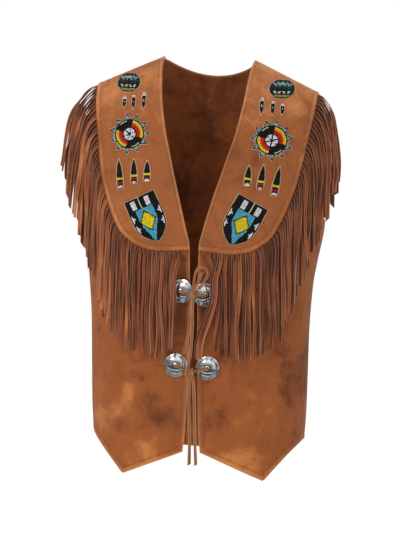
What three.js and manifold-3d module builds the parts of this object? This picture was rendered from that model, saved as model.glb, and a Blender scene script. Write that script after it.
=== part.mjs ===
// Fringed suede vest in the hollow form that it has when it is worn.
// Millimetres, +Z up, front towards -Y, the wearer's left towards +X.
// The origin is midway between the two neck points, on the shoulder line.

import * as THREE from 'three';
import { mergeVertices } from 'three/addons/utils/BufferGeometryUtils.js';
import Module from 'manifold-3d';

const wasm = await Module();
wasm.setup();

// ---- Driving sizes ----------------------------------------------------------------------

const WALL = 1.8;              // suede of the fronts and the back
const SEAM_GAP = 0.3;          // between panels at the side and shoulder seams
const STRIP = { lift: 2.4, wall: 1.0, under: 9, proud: 1.2 };
const YOKE = { lift: 3.8, wall: 1.4 };
const PATCH = { lift: 5.7, wall: 1.6 };

const NECK_HALF = 72;          // neck point from the middle
const SHOULDER_HALF = 180;     // outer end of the shoulder seam
const SHOULDER_SLOPE = 0.458;  // fall of the shoulder line per mm outwards
const ROUND_FROM = -150;       // the shoulders round over above this height
const UNDERARM = -250;
const SQUARENESS = 2.4;        // exponent of the body's sections: 2 is an ellipse
const BACK_NECK_DROP = 18;
const LEAN = { from: -250, slope: 0.037, ease: 40 };  // the worn body leans to +X below here

// Half width and depths of the body's horizontal sections.
const bodySections = [
  { z: -680, half: 166, front: 118, back: 117 },
  { z: -620, half: 168, front: 116, back: 111 },
  { z: -560, half: 172, front: 113.5, back: 105 },
  { z: -500, half: 173.5, front: 112, back: 100 },
  { z: -430, half: 175, front: 112, back: 98 },
  { z: -350, half: 180.5, front: 115.5, back: 104 },
  { z: -318, half: 186, front: 118, back: 109.5 },
  { z: -250, half: 197, front: 121.5, back: 118 },
  { z: -230, half: 197, front: 122, back: 120.5 },
  { z: -190, half: 197, front: 117, back: 122 },
  { z: -130, half: 197, front: 105, back: 119 },
  { z: 0, half: 197, front: 100, back: 116 },
];

// Free front edge and neckline of one front.
const frontEdge = [
  { z: -680, x: 15 },
  { z: -628, x: 13.5 },
  { z: -600, x: 11 },
  { z: -520, x: 8 },
  { z: -385, x: 6 },
  { z: -300, x: 7.5 },
  { z: -281, x: 12 },
  { z: -240, x: 22.6 },
  { z: -193, x: 36 },
  { z: -160, x: 45 },
  { z: -120, x: 56 },
  { z: -69, x: 65 },
  { z: 0, x: 72 },
];

// Armhole edges from the underarm to the shoulder point.
const armholeEdge = [
  { z: -250, front: 197, back: 197 },
  { z: -245, front: 192.5, back: 193 },
  { z: -228, front: 186, back: 188 },
  { z: -193, front: 176, back: 181 },
  { z: -168, front: 173, back: 178.5 },
  { z: -122, front: 174.5, back: 178 },
  { z: -49, front: 180, back: 180 },
];

// Hem of a front: straight from the front corner to the point, and up to the side corner.
const HEM = { cornerX: 13.5, cornerZ: -628, pointX: 112, pointZ: -669, sideX: 168.5, sideZ: -603 };
const BACK_HEM_DROP = 29;

// Lower edge of the yoke: its side, then its foot.
const yokeSide = [
  { z: -290, x: 113 },
  { z: -275, x: 124 },
  { z: -260, x: 131.5 },
  { z: -243, x: 138.5 },
  { z: -222, x: 146 },
  { z: -193, x: 154.5 },
  { z: -168, x: 159.5 },
  { z: -122, x: 167 },
  { z: -85, x: 173 },
  { z: -48, x: 177 },
];
const yokeFoot = [
  { x: 7, z: -308 },
  { x: 58, z: -311.5 },
  { x: 79, z: -308.5 },
  { x: 94, z: -303 },
  { x: 106, z: -295 },
  { x: 116, z: -286.5 },
];
const YOKE_CORNER = { x: 116, z: -286.5 };
const YOKE_FOOT_X = 7.4;

const ROWS = { lower: 6, middle: 4, upper: 7 };
const FRONT_COLUMNS = { inner: 5, outer: 8 };
const BACK_COLUMNS = { neck: 5, shoulder: 8 };
const YOKE_GRID = { across: 8, upper: 7, lower: 8 };

const FRINGE = {
  side: 35, foot: 15, width: 4.7, thick: 1.0, length: 168, nearConcho: 157,
  firstAt: 12, footEndX: 22, reach: 44, reachSpan: 225, reachPower: 1.7,
  clear: 1.3, layer: 2.6, settle: 26, turnOut: 1.8, bodyLimit: 180,
};

const FORWARD = new THREE.Vector3(0, -1, 0);

const CONCHO = { radius: 19, height: 7, segments: 22, gap: 0.4 };
const conchoRows = [
  { name: 'concho_upper_right', x: -19, z: -374, turn: -18 },
  { name: 'concho_upper_left', x: 18, z: -378, turn: 26 },
  { name: 'concho_lower_right', x: -27, z: -492, turn: 0 },
  { name: 'concho_lower_left', x: 24, z: -494, turn: 0 },
];
const LACE = { radius: 2, sides: 8, clear: 0.4 };

// ---- Colours ----------------------------------------------------------------------------

const suede = new THREE.MeshStandardMaterial({ color: 0x9a5a30, roughness: 0.95, metalness: 0 });
const yokeSuede = new THREE.MeshStandardMaterial({ color: 0xa5622f, roughness: 0.9, metalness: 0 });
const fringeSuede = new THREE.MeshStandardMaterial({ color: 0x8a4c2a, roughness: 0.95, metalness: 0 });
const laceSuede = new THREE.MeshStandardMaterial({ color: 0x8f5a3c, roughness: 0.9, metalness: 0 });
const silver = new THREE.MeshStandardMaterial({ color: 0xcfd2d6, roughness: 0.2, metalness: 1 });
const beadwork = new THREE.MeshStandardMaterial({ color: 0x2b3a44, roughness: 0.35, metalness: 0 });

// ---- Helpers ----------------------------------------------------------------------------

const lerp = (a, b, t) => a + (b - a) * t;
const clamp = (v, low, high) => Math.min(high, Math.max(low, v));
const ease = (t) => { const u = clamp(t, 0, 1); return u * u * (3 - 2 * u); };
const radians = (degrees) => degrees * Math.PI / 180;
const vec = (x, y, z) => new THREE.Vector3(x, y, z);

// Smooth function through the rows of a table, with no overshoot between rows.
function smooth(rows, key, column) {
  const at = rows.map((row) => row[key]);
  const value = rows.map((row) => row[column]);
  const rise = at.slice(1).map((a, k) => (value[k + 1] - value[k]) / (a - at[k]));
  const slope = value.map((_, k) => {
    if (k === 0) return rise[0];
    if (k === value.length - 1) return rise[k - 1];
    const product = rise[k - 1] * rise[k];
    return product <= 0 ? 0 : 2 * product / (rise[k - 1] + rise[k]);
  });
  return (x) => {
    const u = clamp(x, at[0], at[at.length - 1]);
    let k = at.findIndex((a) => a >= u) - 1;
    k = Math.max(0, k);
    const h = at[k + 1] - at[k];
    const t = (u - at[k]) / h;
    const s = 1 - t;
    return value[k] * s * s * (1 + 2 * t) + slope[k] * h * t * s * s
      + value[k + 1] * t * t * (3 - 2 * t) - slope[k + 1] * h * t * t * s;
  };
}

// Fixed scatter between -1 and 1, the same at every run.
function scatter(index, salt) {
  const wave = Math.sin(index * 12.9898 + salt * 78.233) * 43758.5453;
  return 2 * (wave - Math.floor(wave)) - 1;
}

// ---- The form of the worn body ------------------------------------------------------------

const halfWidth = smooth(bodySections, 'z', 'half');
const depth = {
  front: smooth(bodySections, 'z', 'front'),
  back: smooth(bodySections, 'z', 'back'),
};
const edgeX = smooth(frontEdge, 'z', 'x');
const armholeX = {
  front: smooth(armholeEdge, 'z', 'front'),
  back: smooth(armholeEdge, 'z', 'back'),
};
const yokeSideX = smooth(yokeSide, 'z', 'x');
const yokeFootZ = smooth(yokeFoot, 'x', 'z');

const ridge = (x) => (NECK_HALF - Math.abs(x)) * SHOULDER_SLOPE;
const sideEdgeX = (z, face) => (z <= UNDERARM ? halfWidth(z) : armholeX[face](z));

function lean(z) {
  const below = Math.max(0, LEAN.from - z);
  return LEAN.slope * below * below / (below + LEAN.ease);
}

function fullness(x, z) {
  const across = 1 - (Math.abs(x) / halfWidth(z)) ** SQUARENESS;
  const rise = Math.max(0, (z - ROUND_FROM) / (ridge(x) - ROUND_FROM));
  return [across, 1 - rise ** SQUARENESS];
}

function formY(x, z, face) {
  const [across, over] = fullness(x, z);
  const y = depth[face](z) * (Math.max(0, across) * Math.max(0, over)) ** (1 / SQUARENESS);
  return (face === 'front' ? -1 : 1) * Math.max(y, SEAM_GAP / 2);
}

function formNormal(x, y, z, face) {
  const level = (px, py, pz) => {
    const [across, over] = fullness(px, pz);
    return (Math.abs(py) / depth[face](pz)) ** SQUARENESS - across * over;
  };
  const h = 0.05;
  return vec(
    level(x + h, y, z) - level(x - h, y, z),
    level(x, y + h, z) - level(x, y - h, z),
    level(x, y, z + h) - level(x, y, z - h),
  ).normalize();
}

function skin(x, z, face, lift) {
  const y = formY(x, z, face);
  return vec(x, y, z).addScaledVector(formNormal(x, y, z, face), lift);
}

// ---- Solids from surfaces -----------------------------------------------------------------

function signedVolume(points, faces) {
  let sum = 0;
  for (const [a, b, c] of faces) {
    sum += points[a].dot(vec().crossVectors(points[b], points[c]));
  }
  return sum / 6;
}

// A closed geometry, mirrored for side -1, turned to face out and leaned with the body.
function solidGeometry(points, faces, side) {
  const placed = points.map((p) => vec(p.x * side + lean(p.z), p.y, p.z));
  const out = signedVolume(placed, faces) > 0;
  const geometry = new THREE.BufferGeometry();
  geometry.setAttribute('position',
    new THREE.Float32BufferAttribute(placed.flatMap((p) => p.toArray()), 3));
  geometry.setIndex(faces.flatMap(([a, b, c]) => (out ? [a, b, c] : [a, c, b])));
  geometry.computeVertexNormals();
  return geometry;
}

// Joins an inner and an outer surface, which share one set of faces, by walls along their edge.
function thicken(inner, outer, faces) {
  const count = inner.length;
  const solid = [];
  const open = new Map();
  for (const [a, b, c] of faces) {
    solid.push([a, b, c], [a + count, c + count, b + count]);
    for (const [p, q] of [[a, b], [b, c], [c, a]]) {
      if (!open.delete(`${q},${p}`)) open.set(`${p},${q}`, [p, q]);
    }
  }
  for (const [p, q] of open.values()) {
    solid.push([q, p, p + count], [q, p + count, q + count]);
  }
  return { points: [...inner, ...outer], faces: solid };
}

function gridFaces(rows, columns) {
  const faces = [];
  for (let i = 0; i < rows - 1; i += 1) {
    for (let j = 0; j < columns - 1; j += 1) {
      const a = i * columns + j;
      const c = a + columns + 1;
      faces.push([a, a + 1, c], [a, c, a + columns]);
    }
  }
  return faces;
}

// A wall over plane points (x, z) of the front or the back, between two lifts off the form.
function wallOver(plane, faces, face, lift, wall) {
  const inner = plane.map(([x, z]) => skin(x, z, face, lift));
  const outer = plane.map(([x, z]) => skin(x, z, face, lift + wall));
  return thicken(inner, outer, faces);
}

const group = new THREE.Group();
const name = (base, side) => `${base}_${side > 0 ? 'left' : 'right'}`;

function addGeometry(label, geometry, material) {
  const mesh = new THREE.Mesh(geometry, material);
  mesh.name = label;
  group.add(mesh);
}

function addSolid(label, { points, faces }, material, side = 1) {
  addGeometry(label, solidGeometry(points, faces, side), material);
}

// ---- Fronts and back ----------------------------------------------------------------------

// Heights of a panel's rows, from its hem to the top line.
function rowHeights(hemZ, topZ) {
  const heights = [];
  for (let i = 0; i < ROWS.lower; i += 1) heights.push(lerp(hemZ, UNDERARM, i / ROWS.lower));
  for (let i = 0; i < ROWS.middle; i += 1) {
    const t = 1 - Math.cos(i / ROWS.middle * Math.PI / 2);
    heights.push(lerp(UNDERARM, ROUND_FROM, t));
  }
  for (let i = 0; i <= ROWS.upper; i += 1) {
    const t = Math.sin(i / ROWS.upper * Math.PI / 2) ** (2 / SQUARENESS);
    heights.push(lerp(ROUND_FROM, topZ, t));
  }
  return heights;
}

// The section angle at which the form is x wide, and back again.
const angleAt = (x, half) => Math.asin(clamp(x / half, 0, 1) ** (SQUARENESS / 2));
const widthAt = (angle, half) => half * Math.sin(angle) ** (2 / SQUARENESS);

function frontHem(x) {
  if (x <= HEM.pointX) {
    return lerp(HEM.cornerZ, HEM.pointZ, (x - HEM.cornerX) / (HEM.pointX - HEM.cornerX));
  }
  return lerp(HEM.pointZ, HEM.sideZ, (x - HEM.pointX) / (HEM.sideX - HEM.pointX));
}

function backHem(x) {
  return HEM.sideZ - BACK_HEM_DROP * (1 - (x / HEM.sideX) ** 2);
}

function backTop(x) {
  const inside = Math.abs(x) / NECK_HALF;
  return inside < 1 ? -BACK_NECK_DROP * (1 - inside * inside) : ridge(x);
}

function evenSteps(from, to, count) {
  return Array.from({ length: count }, (_, k) => lerp(from, to, k / count));
}

// Plane points of a panel: rows up the body, columns out to the side and armhole edge.
function panelPlane(columns, face, innerX, hem, top) {
  const hemHalf = halfWidth(HEM.sideZ);
  const hemIn = angleAt(innerX(HEM.cornerZ), hemHalf);
  const hemX = columns.map((c) => widthAt(lerp(hemIn, Math.PI / 2, Math.abs(c)), hemHalf));
  const innerRows = rowHeights(HEM.cornerZ, 0);
  const outerRows = rowHeights(HEM.sideZ, ridge(SHOULDER_HALF));
  return outerRows.flatMap((outerZ, row) => {
    const half = halfWidth(outerZ);
    const from = angleAt(innerX(innerRows[row]), half);
    const to = angleAt(sideEdgeX(outerZ, face), half);
    return columns.map((c, column) => {
      const x = widthAt(lerp(from, to, Math.abs(c)), half);
      const atSeam = Math.abs(c) === 1;
      const z = atSeam ? outerZ : rowHeights(hem(hemX[column]), top(x))[row];
      return [Math.sign(c || 1) * x, z];
    });
  });
}

function buildFront(side) {
  const hemHalf = halfWidth(HEM.sideZ);
  const from = angleAt(HEM.cornerX, hemHalf);
  const point = (angleAt(HEM.pointX, hemHalf) - from) / (Math.PI / 2 - from);
  const columns = [
    ...evenSteps(0, point, FRONT_COLUMNS.inner),
    ...evenSteps(point, 1, FRONT_COLUMNS.outer), 1];
  const plane = panelPlane(columns, 'front', edgeX, frontHem, ridge);
  const faces = gridFaces(plane.length / columns.length, columns.length);
  addSolid(name('front', side), wallOver(plane, faces, 'front', 0, WALL), suede, side);
}

function buildBack() {
  const neckAngle = angleAt(NECK_HALF, halfWidth(0));
  const shoulderAngle = angleAt(SHOULDER_HALF, halfWidth(0));
  const neckColumns = Array.from({ length: BACK_COLUMNS.neck }, (_, k) => {
    const x = NECK_HALF * Math.sin(k / BACK_COLUMNS.neck * Math.PI / 2);
    return angleAt(x, halfWidth(0)) / shoulderAngle;
  });
  const half = [
    ...neckColumns,
    ...evenSteps(neckAngle / shoulderAngle, 1, BACK_COLUMNS.shoulder), 1];
  const columns = [...half.slice(1).reverse().map((c) => -c), ...half];
  const plane = panelPlane(columns, 'back', () => 0, backHem, backTop);
  const faces = gridFaces(plane.length / columns.length, columns.length);
  addSolid('back', wallOver(plane, faces, 'back', 0, WALL), suede);
}

// ---- Yokes --------------------------------------------------------------------------------

// Rows run from the shoulder line to the foot, columns from the neckline to the fringe.
function yokePlane() {
  const rows = [];
  for (let i = 0; i < YOKE_GRID.upper; i += 1) {
    const angle = (1 - i / YOKE_GRID.upper) * Math.PI / 2;
    rows.push({ rise: Math.sin(angle) ** (2 / SQUARENESS), fall: 0 });
  }
  for (let i = 0; i <= YOKE_GRID.lower; i += 1) rows.push({ rise: 0, fall: i / YOKE_GRID.lower });
  const footStart = { x: YOKE_FOOT_X, z: yokeFootZ(YOKE_FOOT_X) };
  return rows.flatMap(({ rise, fall }) => {
    const innerZ = lerp(lerp(ROUND_FROM, 0, rise), footStart.z, fall);
    const outerZ = lerp(lerp(ROUND_FROM, ridge(yokeSideX(-48)), rise), YOKE_CORNER.z, fall);
    const innerX = edgeX(innerZ);
    const outerX = yokeSideX(outerZ);
    return Array.from({ length: YOKE_GRID.across + 1 }, (_, j) => {
      const u = j / YOKE_GRID.across;
      const x = lerp(innerX, outerX, u);
      const footX = lerp(footStart.x, YOKE_CORNER.x, u);
      const sag = yokeFootZ(footX) - lerp(footStart.z, YOKE_CORNER.z, u);
      const z = fall > 0 ? lerp(innerZ, outerZ, u) + sag * fall * fall
        : lerp(ROUND_FROM, ridge(x), rise);
      return [x, z];
    });
  });
}

const yokeColumns = YOKE_GRID.across + 1;
const yokePoints = yokePlane();
const yokeRows = yokePoints.length / yokeColumns;

function buildYoke(side) {
  const faces = gridFaces(yokeRows, yokeColumns);
  const wall = wallOver(yokePoints, faces, 'front', YOKE.lift, YOKE.wall);
  addSolid(name('yoke', side), wall, yokeSuede, side);
}

// ---- Fringe -------------------------------------------------------------------------------

// Stations of the yoke's lower edge, from the shoulder to the front edge: a point on the form,
// the direction out of the yoke and the normal there.
function yokeEdgeStations() {
  const at = (row, column) => {
    const [x, z] = yokePoints[row * yokeColumns + column];
    const y = formY(x, z, 'front');
    return { point: vec(x, y, z), normal: formNormal(x, y, z, 'front') };
  };
  const last = YOKE_GRID.across;
  const stations = [];
  for (let row = 0; row < yokeRows - 1; row += 1) stations.push([at(row, last), at(row, last - 1)]);
  stations.push([at(yokeRows - 1, last), at(yokeRows - 2, last - 1)]);
  for (let column = last - 1; column >= 0; column -= 1) {
    stations.push([at(yokeRows - 1, column), at(yokeRows - 2, column)]);
  }
  let along = 0;
  return stations.map(([edge, inside], k) => {
    if (k > 0) along += edge.point.distanceTo(stations[k - 1][0].point);
    const out = vec().subVectors(edge.point, inside.point);
    const span = out.length();
    const under = STRIP.under / span;
    return {
      along,
      edge,
      out: out.normalize(),
      inside: {
        point: edge.point.clone().lerp(inside.point, under),
        normal: edge.normal.clone().lerp(inside.normal, under).normalize(),
      },
    };
  });
}

const edgeStations = yokeEdgeStations();

function stationAt(along) {
  let k = edgeStations.findIndex((station) => station.along >= along);
  k = clamp(k, 1, edgeStations.length - 1);
  const a = edgeStations[k - 1];
  const b = edgeStations[k];
  const t = (along - a.along) / (b.along - a.along);
  const mix = (p, q) => p.clone().lerp(q, t);
  return {
    point: mix(a.edge.point, b.edge.point),
    normal: mix(a.edge.normal, b.edge.normal).normalize(),
    out: mix(a.out, b.out).normalize(),
    insidePoint: mix(a.inside.point, b.inside.point),
    insideNormal: mix(a.inside.normal, b.inside.normal).normalize(),
  };
}

// The four corners of the strip at one station: inside low and high, outside high and low.
function stripCorners(along) {
  const s = stationAt(along);
  const outer = s.point.clone().addScaledVector(s.out, STRIP.proud);
  const lifted = (point, normal, lift) => point.clone().addScaledVector(normal, lift);
  return [
    lifted(s.insidePoint, s.insideNormal, STRIP.lift),
    lifted(s.insidePoint, s.insideNormal, STRIP.lift + STRIP.wall),
    lifted(outer, s.normal, STRIP.lift + STRIP.wall),
    lifted(outer, s.normal, STRIP.lift),
  ];
}

// Where each strand is rooted and how it hangs.
function strandPlans(side) {
  const cornerAlong = edgeStations[yokeRows - 1].along;
  const footEnd = edgeStations.findIndex((s, k) => k >= yokeRows && s.edge.point.x < FRINGE.footEndX);
  const a = edgeStations[footEnd - 1];
  const b = edgeStations[footEnd];
  const t = (a.edge.point.x - FRINGE.footEndX) / (a.edge.point.x - b.edge.point.x);
  const endAlong = lerp(a.along, b.along, t);
  const count = FRINGE.side + FRINGE.foot;
  return Array.from({ length: count }, (_, i) => {
    const along = i < FRINGE.side
      ? lerp(FRINGE.firstAt, cornerAlong, i / (FRINGE.side - 0.5))
      : lerp(cornerAlong, endAlong, (i - FRINGE.side + 0.5) / (FRINGE.foot - 0.5));
    const s = stationAt(along);
    const { x } = s.point;
    const high = clamp(1 - (along - FRINGE.firstAt) / FRINGE.reachSpan, 0, 1);
    const reach = Math.max(FRINGE.reach * high ** FRINGE.reachPower, 6 * Math.max(0, s.out.x));
    const nearEdge = i >= FRINGE.side && x < 46;
    const stray = side > 0 && nearEdge && (i === count - 4 || i === count - 3);
    return {
      along, stray, nearEdge, reach,
      layer: stray ? 4.4 : 2 - i % 3,
      pushTo: nearEdge ? 41 + (x - FRINGE.footEndX) * 0.35 : null,
      length: nearEdge && !stray ? FRINGE.nearConcho : FRINGE.length + 5 * scatter(i, side + 3),
      twist: radians(i < FRINGE.side ? 4 : 10) * scatter(i, side + 5),
      sway: (i < FRINGE.side ? 0.3 : 0.9) * scatter(i, side + 7),
      fractions: i < FRINGE.side ? [0.05, 0.13, 0.24, 0.42, 0.7, 1] : [0.1, 0.38, 0.68, 1],
    };
  });
}

// Sideways shift of a strand near the front edge, which hangs round the conchos.
function nearEdgeShift(plan, rootX, z) {
  if (plan.stray) return -7 * ease((-318 - z) / 40) - 25 * ease((-372 - z) / 100);
  const top = conchoRows[0].z;
  return (plan.pushTo - rootX) * (ease((-311 - z) / 45) - 0.45 * ease((top - 25 - z) / 70));
}

// Dense path of a strand in air: out of the yoke, over in an arch, then plumb. Neighbours hang
// in layers, one further forward than the next.
function strandPath(plan) {
  const s = stationAt(plan.along);
  const start = s.point.clone().addScaledVector(s.out, STRIP.proud);
  const hanging = vec(s.normal.x * FRINGE.turnOut, s.normal.y, 0).normalize();
  const slope = clamp(s.out.x, 0.05, 0.93);
  const turn = Math.max(1, plan.reach / slope);
  let { x, z } = start;
  let y = Math.abs(start.y);
  let shift = 0;
  let length = 0;
  const path = [];
  const step = 2;
  for (let run = 0; length < plan.length + 2 * step; run += step) {
    const settled = ease(run / FRINGE.settle);
    const facing = s.normal.clone().lerp(hanging, settled).normalize();
    const point = vec(x, -y, z)
      .addScaledVector(facing, STRIP.lift + STRIP.wall / 2 + settled * FRINGE.clear)
      .addScaledVector(FORWARD, settled * plan.layer * FRINGE.layer);
    path.push({ length, facing, point });
    const wanted = (plan.nearEdge ? nearEdgeShift(plan, start.x, z) : 0)
      + settled * plan.sway * Math.sin(run / 30 + plan.sway * 9);
    const arch = plan.reach * (Math.exp(-run / turn) - Math.exp(-(run + step) / turn));
    const move = clamp(arch + wanted - shift, -0.93 * step, 0.93 * step);
    shift = wanted;
    x += move;
    z -= Math.sqrt(step * step - move * move);
    const nearest = Math.min(x, FRINGE.bodyLimit) - 2 * settled;
    const deeper = Math.max(y, Math.abs(formY(nearest, z, 'front')));
    length += Math.hypot(step, deeper - y);
    y = deeper;
  }
  return path;
}

function pathAt(path, length) {
  const k = clamp(path.findIndex((p) => p.length >= length), 1, path.length - 1);
  const a = path[k - 1];
  const b = path[k];
  const t = (length - a.length) / (b.length - a.length);
  return { point: a.point.clone().lerp(b.point, t), facing: a.facing.clone().lerp(b.facing, t) };
}

// Corner rings of a strand after its root: near and far edge, outside and inside.
function strandRings(plan) {
  const path = strandPath(plan);
  return plan.fractions.map((fraction) => {
    const length = fraction * plan.length;
    const { point: centre, facing } = pathAt(path, length);
    const tangent = pathAt(path, length + 1.5).point
      .sub(pathAt(path, Math.max(0, length - 1.5)).point).normalize();
    const across = vec().crossVectors(tangent, facing).normalize();
    across.applyAxisAngle(tangent, plan.twist * fraction);
    const outward = vec().crossVectors(across, tangent).normalize();
    const half = FRINGE.width / 2 * lerp(1, 0.9, fraction);
    const corner = (a, o) => centre.clone()
      .addScaledVector(across, a * half)
      .addScaledVector(outward, o * FRINGE.thick / 2);
    return [corner(-1, 1), corner(1, 1), corner(1, -1), corner(-1, -1)];
  });
}

// The strip and its strands as one closed surface: each strand grows out of the strip's edge.
function buildFringe(side) {
  const points = [];
  const faces = [];
  const quad = (a, b, c, d) => faces.push([a, b, c], [a, c, d]);
  const add = (list) => list.map((p) => points.push(p) - 1);
  const plans = strandPlans(side);
  const halfRoot = FRINGE.width / 2;
  const cuts = plans.flatMap((plan) => [plan.along - halfRoot, plan.along + halfRoot]);
  const rings = [0.4, ...cuts, cuts[cuts.length - 1] + 6].map((along) => add(stripCorners(along)));
  quad(...rings[0]);
  quad(...[...rings[rings.length - 1]].reverse());
  for (let k = 0; k < rings.length - 1; k += 1) {
    const [a, b] = [rings[k], rings[k + 1]];
    const strand = k % 2 === 1 && (k - 1) / 2 < plans.length ? plans[(k - 1) / 2] : null;
    quad(a[0], b[0], b[1], a[1]);
    quad(a[1], b[1], b[2], a[2]);
    quad(a[3], b[3], b[0], a[0]);
    if (!strand) {
      quad(a[2], b[2], b[3], a[3]);
      continue;
    }
    let ring = [a[2], b[2], b[3], a[3]];
    for (const corners of strandRings(strand)) {
      const next = add(corners);
      for (let c = 0; c < 4; c += 1) {
        const d = (c + 1) % 4;
        quad(ring[c], ring[d], next[d], next[c]);
      }
      ring = next;
    }
    quad(...ring);
  }
  addSolid(name('fringe', side), { points, faces }, fringeSuede, side);
}

// ---- Beaded patches -------------------------------------------------------------------------

// A patch along a straight line of the plane, with a half width for each distance along it.
function bandPatch(start, end, sections, columns) {
  const along = [end[0] - start[0], end[1] - start[1]];
  const length = Math.hypot(...along);
  const [ux, uz] = [along[0] / length, along[1] / length];
  const plane = sections.flatMap(({ at, half }) => Array.from({ length: columns + 1 }, (_, j) => {
    const off = half * (2 * j / columns - 1);
    return [start[0] + ux * at * length - uz * off, start[1] + uz * at * length + ux * off];
  }));
  return { plane, faces: gridFaces(sections.length, columns + 1) };
}

// A disc with pointed rays, as rings about its centre. The first ray is at the angle turn.
function rayPatch([cx, cz], rays, turn, discRadius, tipRadius) {
  const plane = [[cx, cz]];
  const faces = [];
  const count = rays * 2;
  const radii = [() => discRadius * 0.5, () => discRadius, (k) => (k % 2 ? discRadius + 1 : tipRadius)];
  radii.forEach((radius, ring) => {
    for (let k = 0; k < count; k += 1) {
      const angle = radians(turn) + k / count * 2 * Math.PI;
      plane.push([cx + radius(k) * Math.cos(angle), cz + radius(k) * Math.sin(angle)]);
      const here = 1 + ring * count + k;
      const next = 1 + ring * count + (k + 1) % count;
      if (ring === 0) faces.push([0, here, next]);
      else faces.push([here - count, here, next], [here - count, next, next - count]);
    }
  });
  return { plane, faces };
}

const dropSections = [
  { at: 0, half: 2.2 }, { at: 0.25, half: 4.2 }, { at: 0.7, half: 3.6 }, { at: 1, half: 0.8 }];
const clawSections = [
  { at: 0, half: 0.9 }, { at: 0.25, half: 4.4 }, { at: 0.6, half: 6.4 }, { at: 0.88, half: 6.2 },
  { at: 1, half: 4.4 }];
const shieldSections = [
  { at: 0, half: 26.3 }, { at: 0.13, half: 26.7 }, { at: 0.26, half: 27 }, { at: 0.39, half: 27 },
  { at: 0.52, half: 27 }, { at: 0.66, half: 26 }, { at: 0.8, half: 20.5 }, { at: 0.91, half: 12.5 },
  { at: 1, half: 2 }];
const emblemSections = [
  { at: 0, half: 9 }, { at: 0.14, half: 14.2 }, { at: 0.3, half: 18.8 }, { at: 0.5, half: 21 },
  { at: 0.72, half: 18.5 }, { at: 1, half: 9 }];

const ROSETTE = { centre: [112, -129], rays: 11, turn: 11.7, disc: 23, tip: 33 };
const EMBLEM = { start: [121, -32], end: [121, -63] };
const SHIELD = { start: [90.2, -227], end: [55.5, -296] };
const dropRows = [
  { x: 93, top: -62, bottom: -91 },
  { x: 110, top: -67, bottom: -90 },
  { x: 125, top: -69.5, bottom: -89 },
];
const clawRows = [
  { tipX: 80.5, tipZ: -170, baseX: 78.5, baseZ: -204 },
  { tipX: 102.5, tipZ: -168, baseX: 98.5, baseZ: -209 },
  { tipX: 127, tipZ: -169, baseX: 120, baseZ: -218 },
];

function buildPatch(label, { plane, faces }, side) {
  addSolid(label, wallOver(plane, faces, 'front', PATCH.lift, PATCH.wall), beadwork, side);
}

function buildPatches(side) {
  const { centre, rays, turn, disc, tip } = ROSETTE;
  buildPatch(name('emblem', side), bandPatch(EMBLEM.start, EMBLEM.end, emblemSections, 4), side);
  buildPatch(name('rosette', side), rayPatch(centre, rays, turn, disc, tip), side);
  buildPatch(name('shield', side), bandPatch(SHIELD.start, SHIELD.end, shieldSections, 5), side);
  dropRows.forEach((row, k) => {
    const patch = bandPatch([row.x, row.top], [row.x, row.bottom], dropSections, 2);
    buildPatch(`${name('drop', side)}_${k + 1}`, patch, side);
  });
  clawRows.forEach((row, k) => {
    const patch = bandPatch([row.tipX, row.tipZ], [row.baseX, row.baseZ], clawSections, 2);
    buildPatch(`${name('claw', side)}_${k + 1}`, patch, side);
  });
}

// ---- Conchos and laces ------------------------------------------------------------------------

// Seat of a concho: one rim touches the front, and the disc is turned about the vertical.
function conchoSeat({ x, z, turn }) {
  const angle = radians(turn);
  const axis = vec(Math.sin(angle), -Math.cos(angle), 0);
  const rimX = x + Math.sign(x) * CONCHO.radius * Math.cos(angle);
  const rimY = formY(Math.max(Math.abs(rimX), Math.abs(x)), z, 'front');
  const rise = WALL + CONCHO.gap + CONCHO.radius * Math.abs(Math.sin(angle));
  const middleY = formY(Math.abs(x) - CONCHO.radius, z, 'front') - WALL - CONCHO.gap;
  return { centre: vec(x + lean(z), Math.min(rimY - rise, middleY), z), axis };
}

function buildConcho(row) {
  const { radius: r, height: h } = CONCHO;
  const profile = [
    [0, 0], [0.97 * r, 0], [r, 0.09 * h], [0.94 * r, 0.23 * h], [0.8 * r, 0.34 * h],
    [0.58 * r, 0.64 * h], [0.33 * r, 0.8 * h], [0.19 * r, 0.94 * h], [0, h],
  ].map(([x, y]) => new THREE.Vector2(x, y));
  const geometry = new THREE.LatheGeometry(profile, CONCHO.segments);
  const { centre, axis } = conchoSeat(row);
  geometry.applyQuaternion(new THREE.Quaternion().setFromUnitVectors(vec(0, 1, 0), axis));
  geometry.translate(centre.x, centre.y, centre.z);
  addGeometry(row.name, geometry, silver);
}

function laceTube(points, steps) {
  const section = new THREE.Shape(Array.from({ length: LACE.sides }, (_, k) => {
    const angle = k / LACE.sides * 2 * Math.PI;
    return new THREE.Vector2(LACE.radius * Math.cos(angle), LACE.radius * Math.sin(angle));
  }));
  const route = new THREE.CatmullRomCurve3(points.map(([x, y, z]) => vec(x + lean(z), y, z)));
  return new THREE.ExtrudeGeometry(section, { steps, extrudePath: route, bevelEnabled: false });
}

function toManifold(geometry) {
  const bare = geometry.clone();
  bare.deleteAttribute('normal');
  bare.deleteAttribute('uv');
  const merged = mergeVertices(bare, 1e-4);
  return new wasm.Manifold(new wasm.Mesh({
    numProp: 3,
    vertProperties: Float32Array.from(merged.attributes.position.array),
    triVerts: Uint32Array.from(merged.index.array),
  }));
}

function fromManifold(manifold) {
  const mesh = manifold.getMesh();
  const geometry = new THREE.BufferGeometry();
  geometry.setAttribute('position', new THREE.BufferAttribute(mesh.vertProperties, 3));
  geometry.setIndex(new THREE.BufferAttribute(mesh.triVerts, 1));
  geometry.computeVertexNormals();
  return geometry;
}

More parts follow.
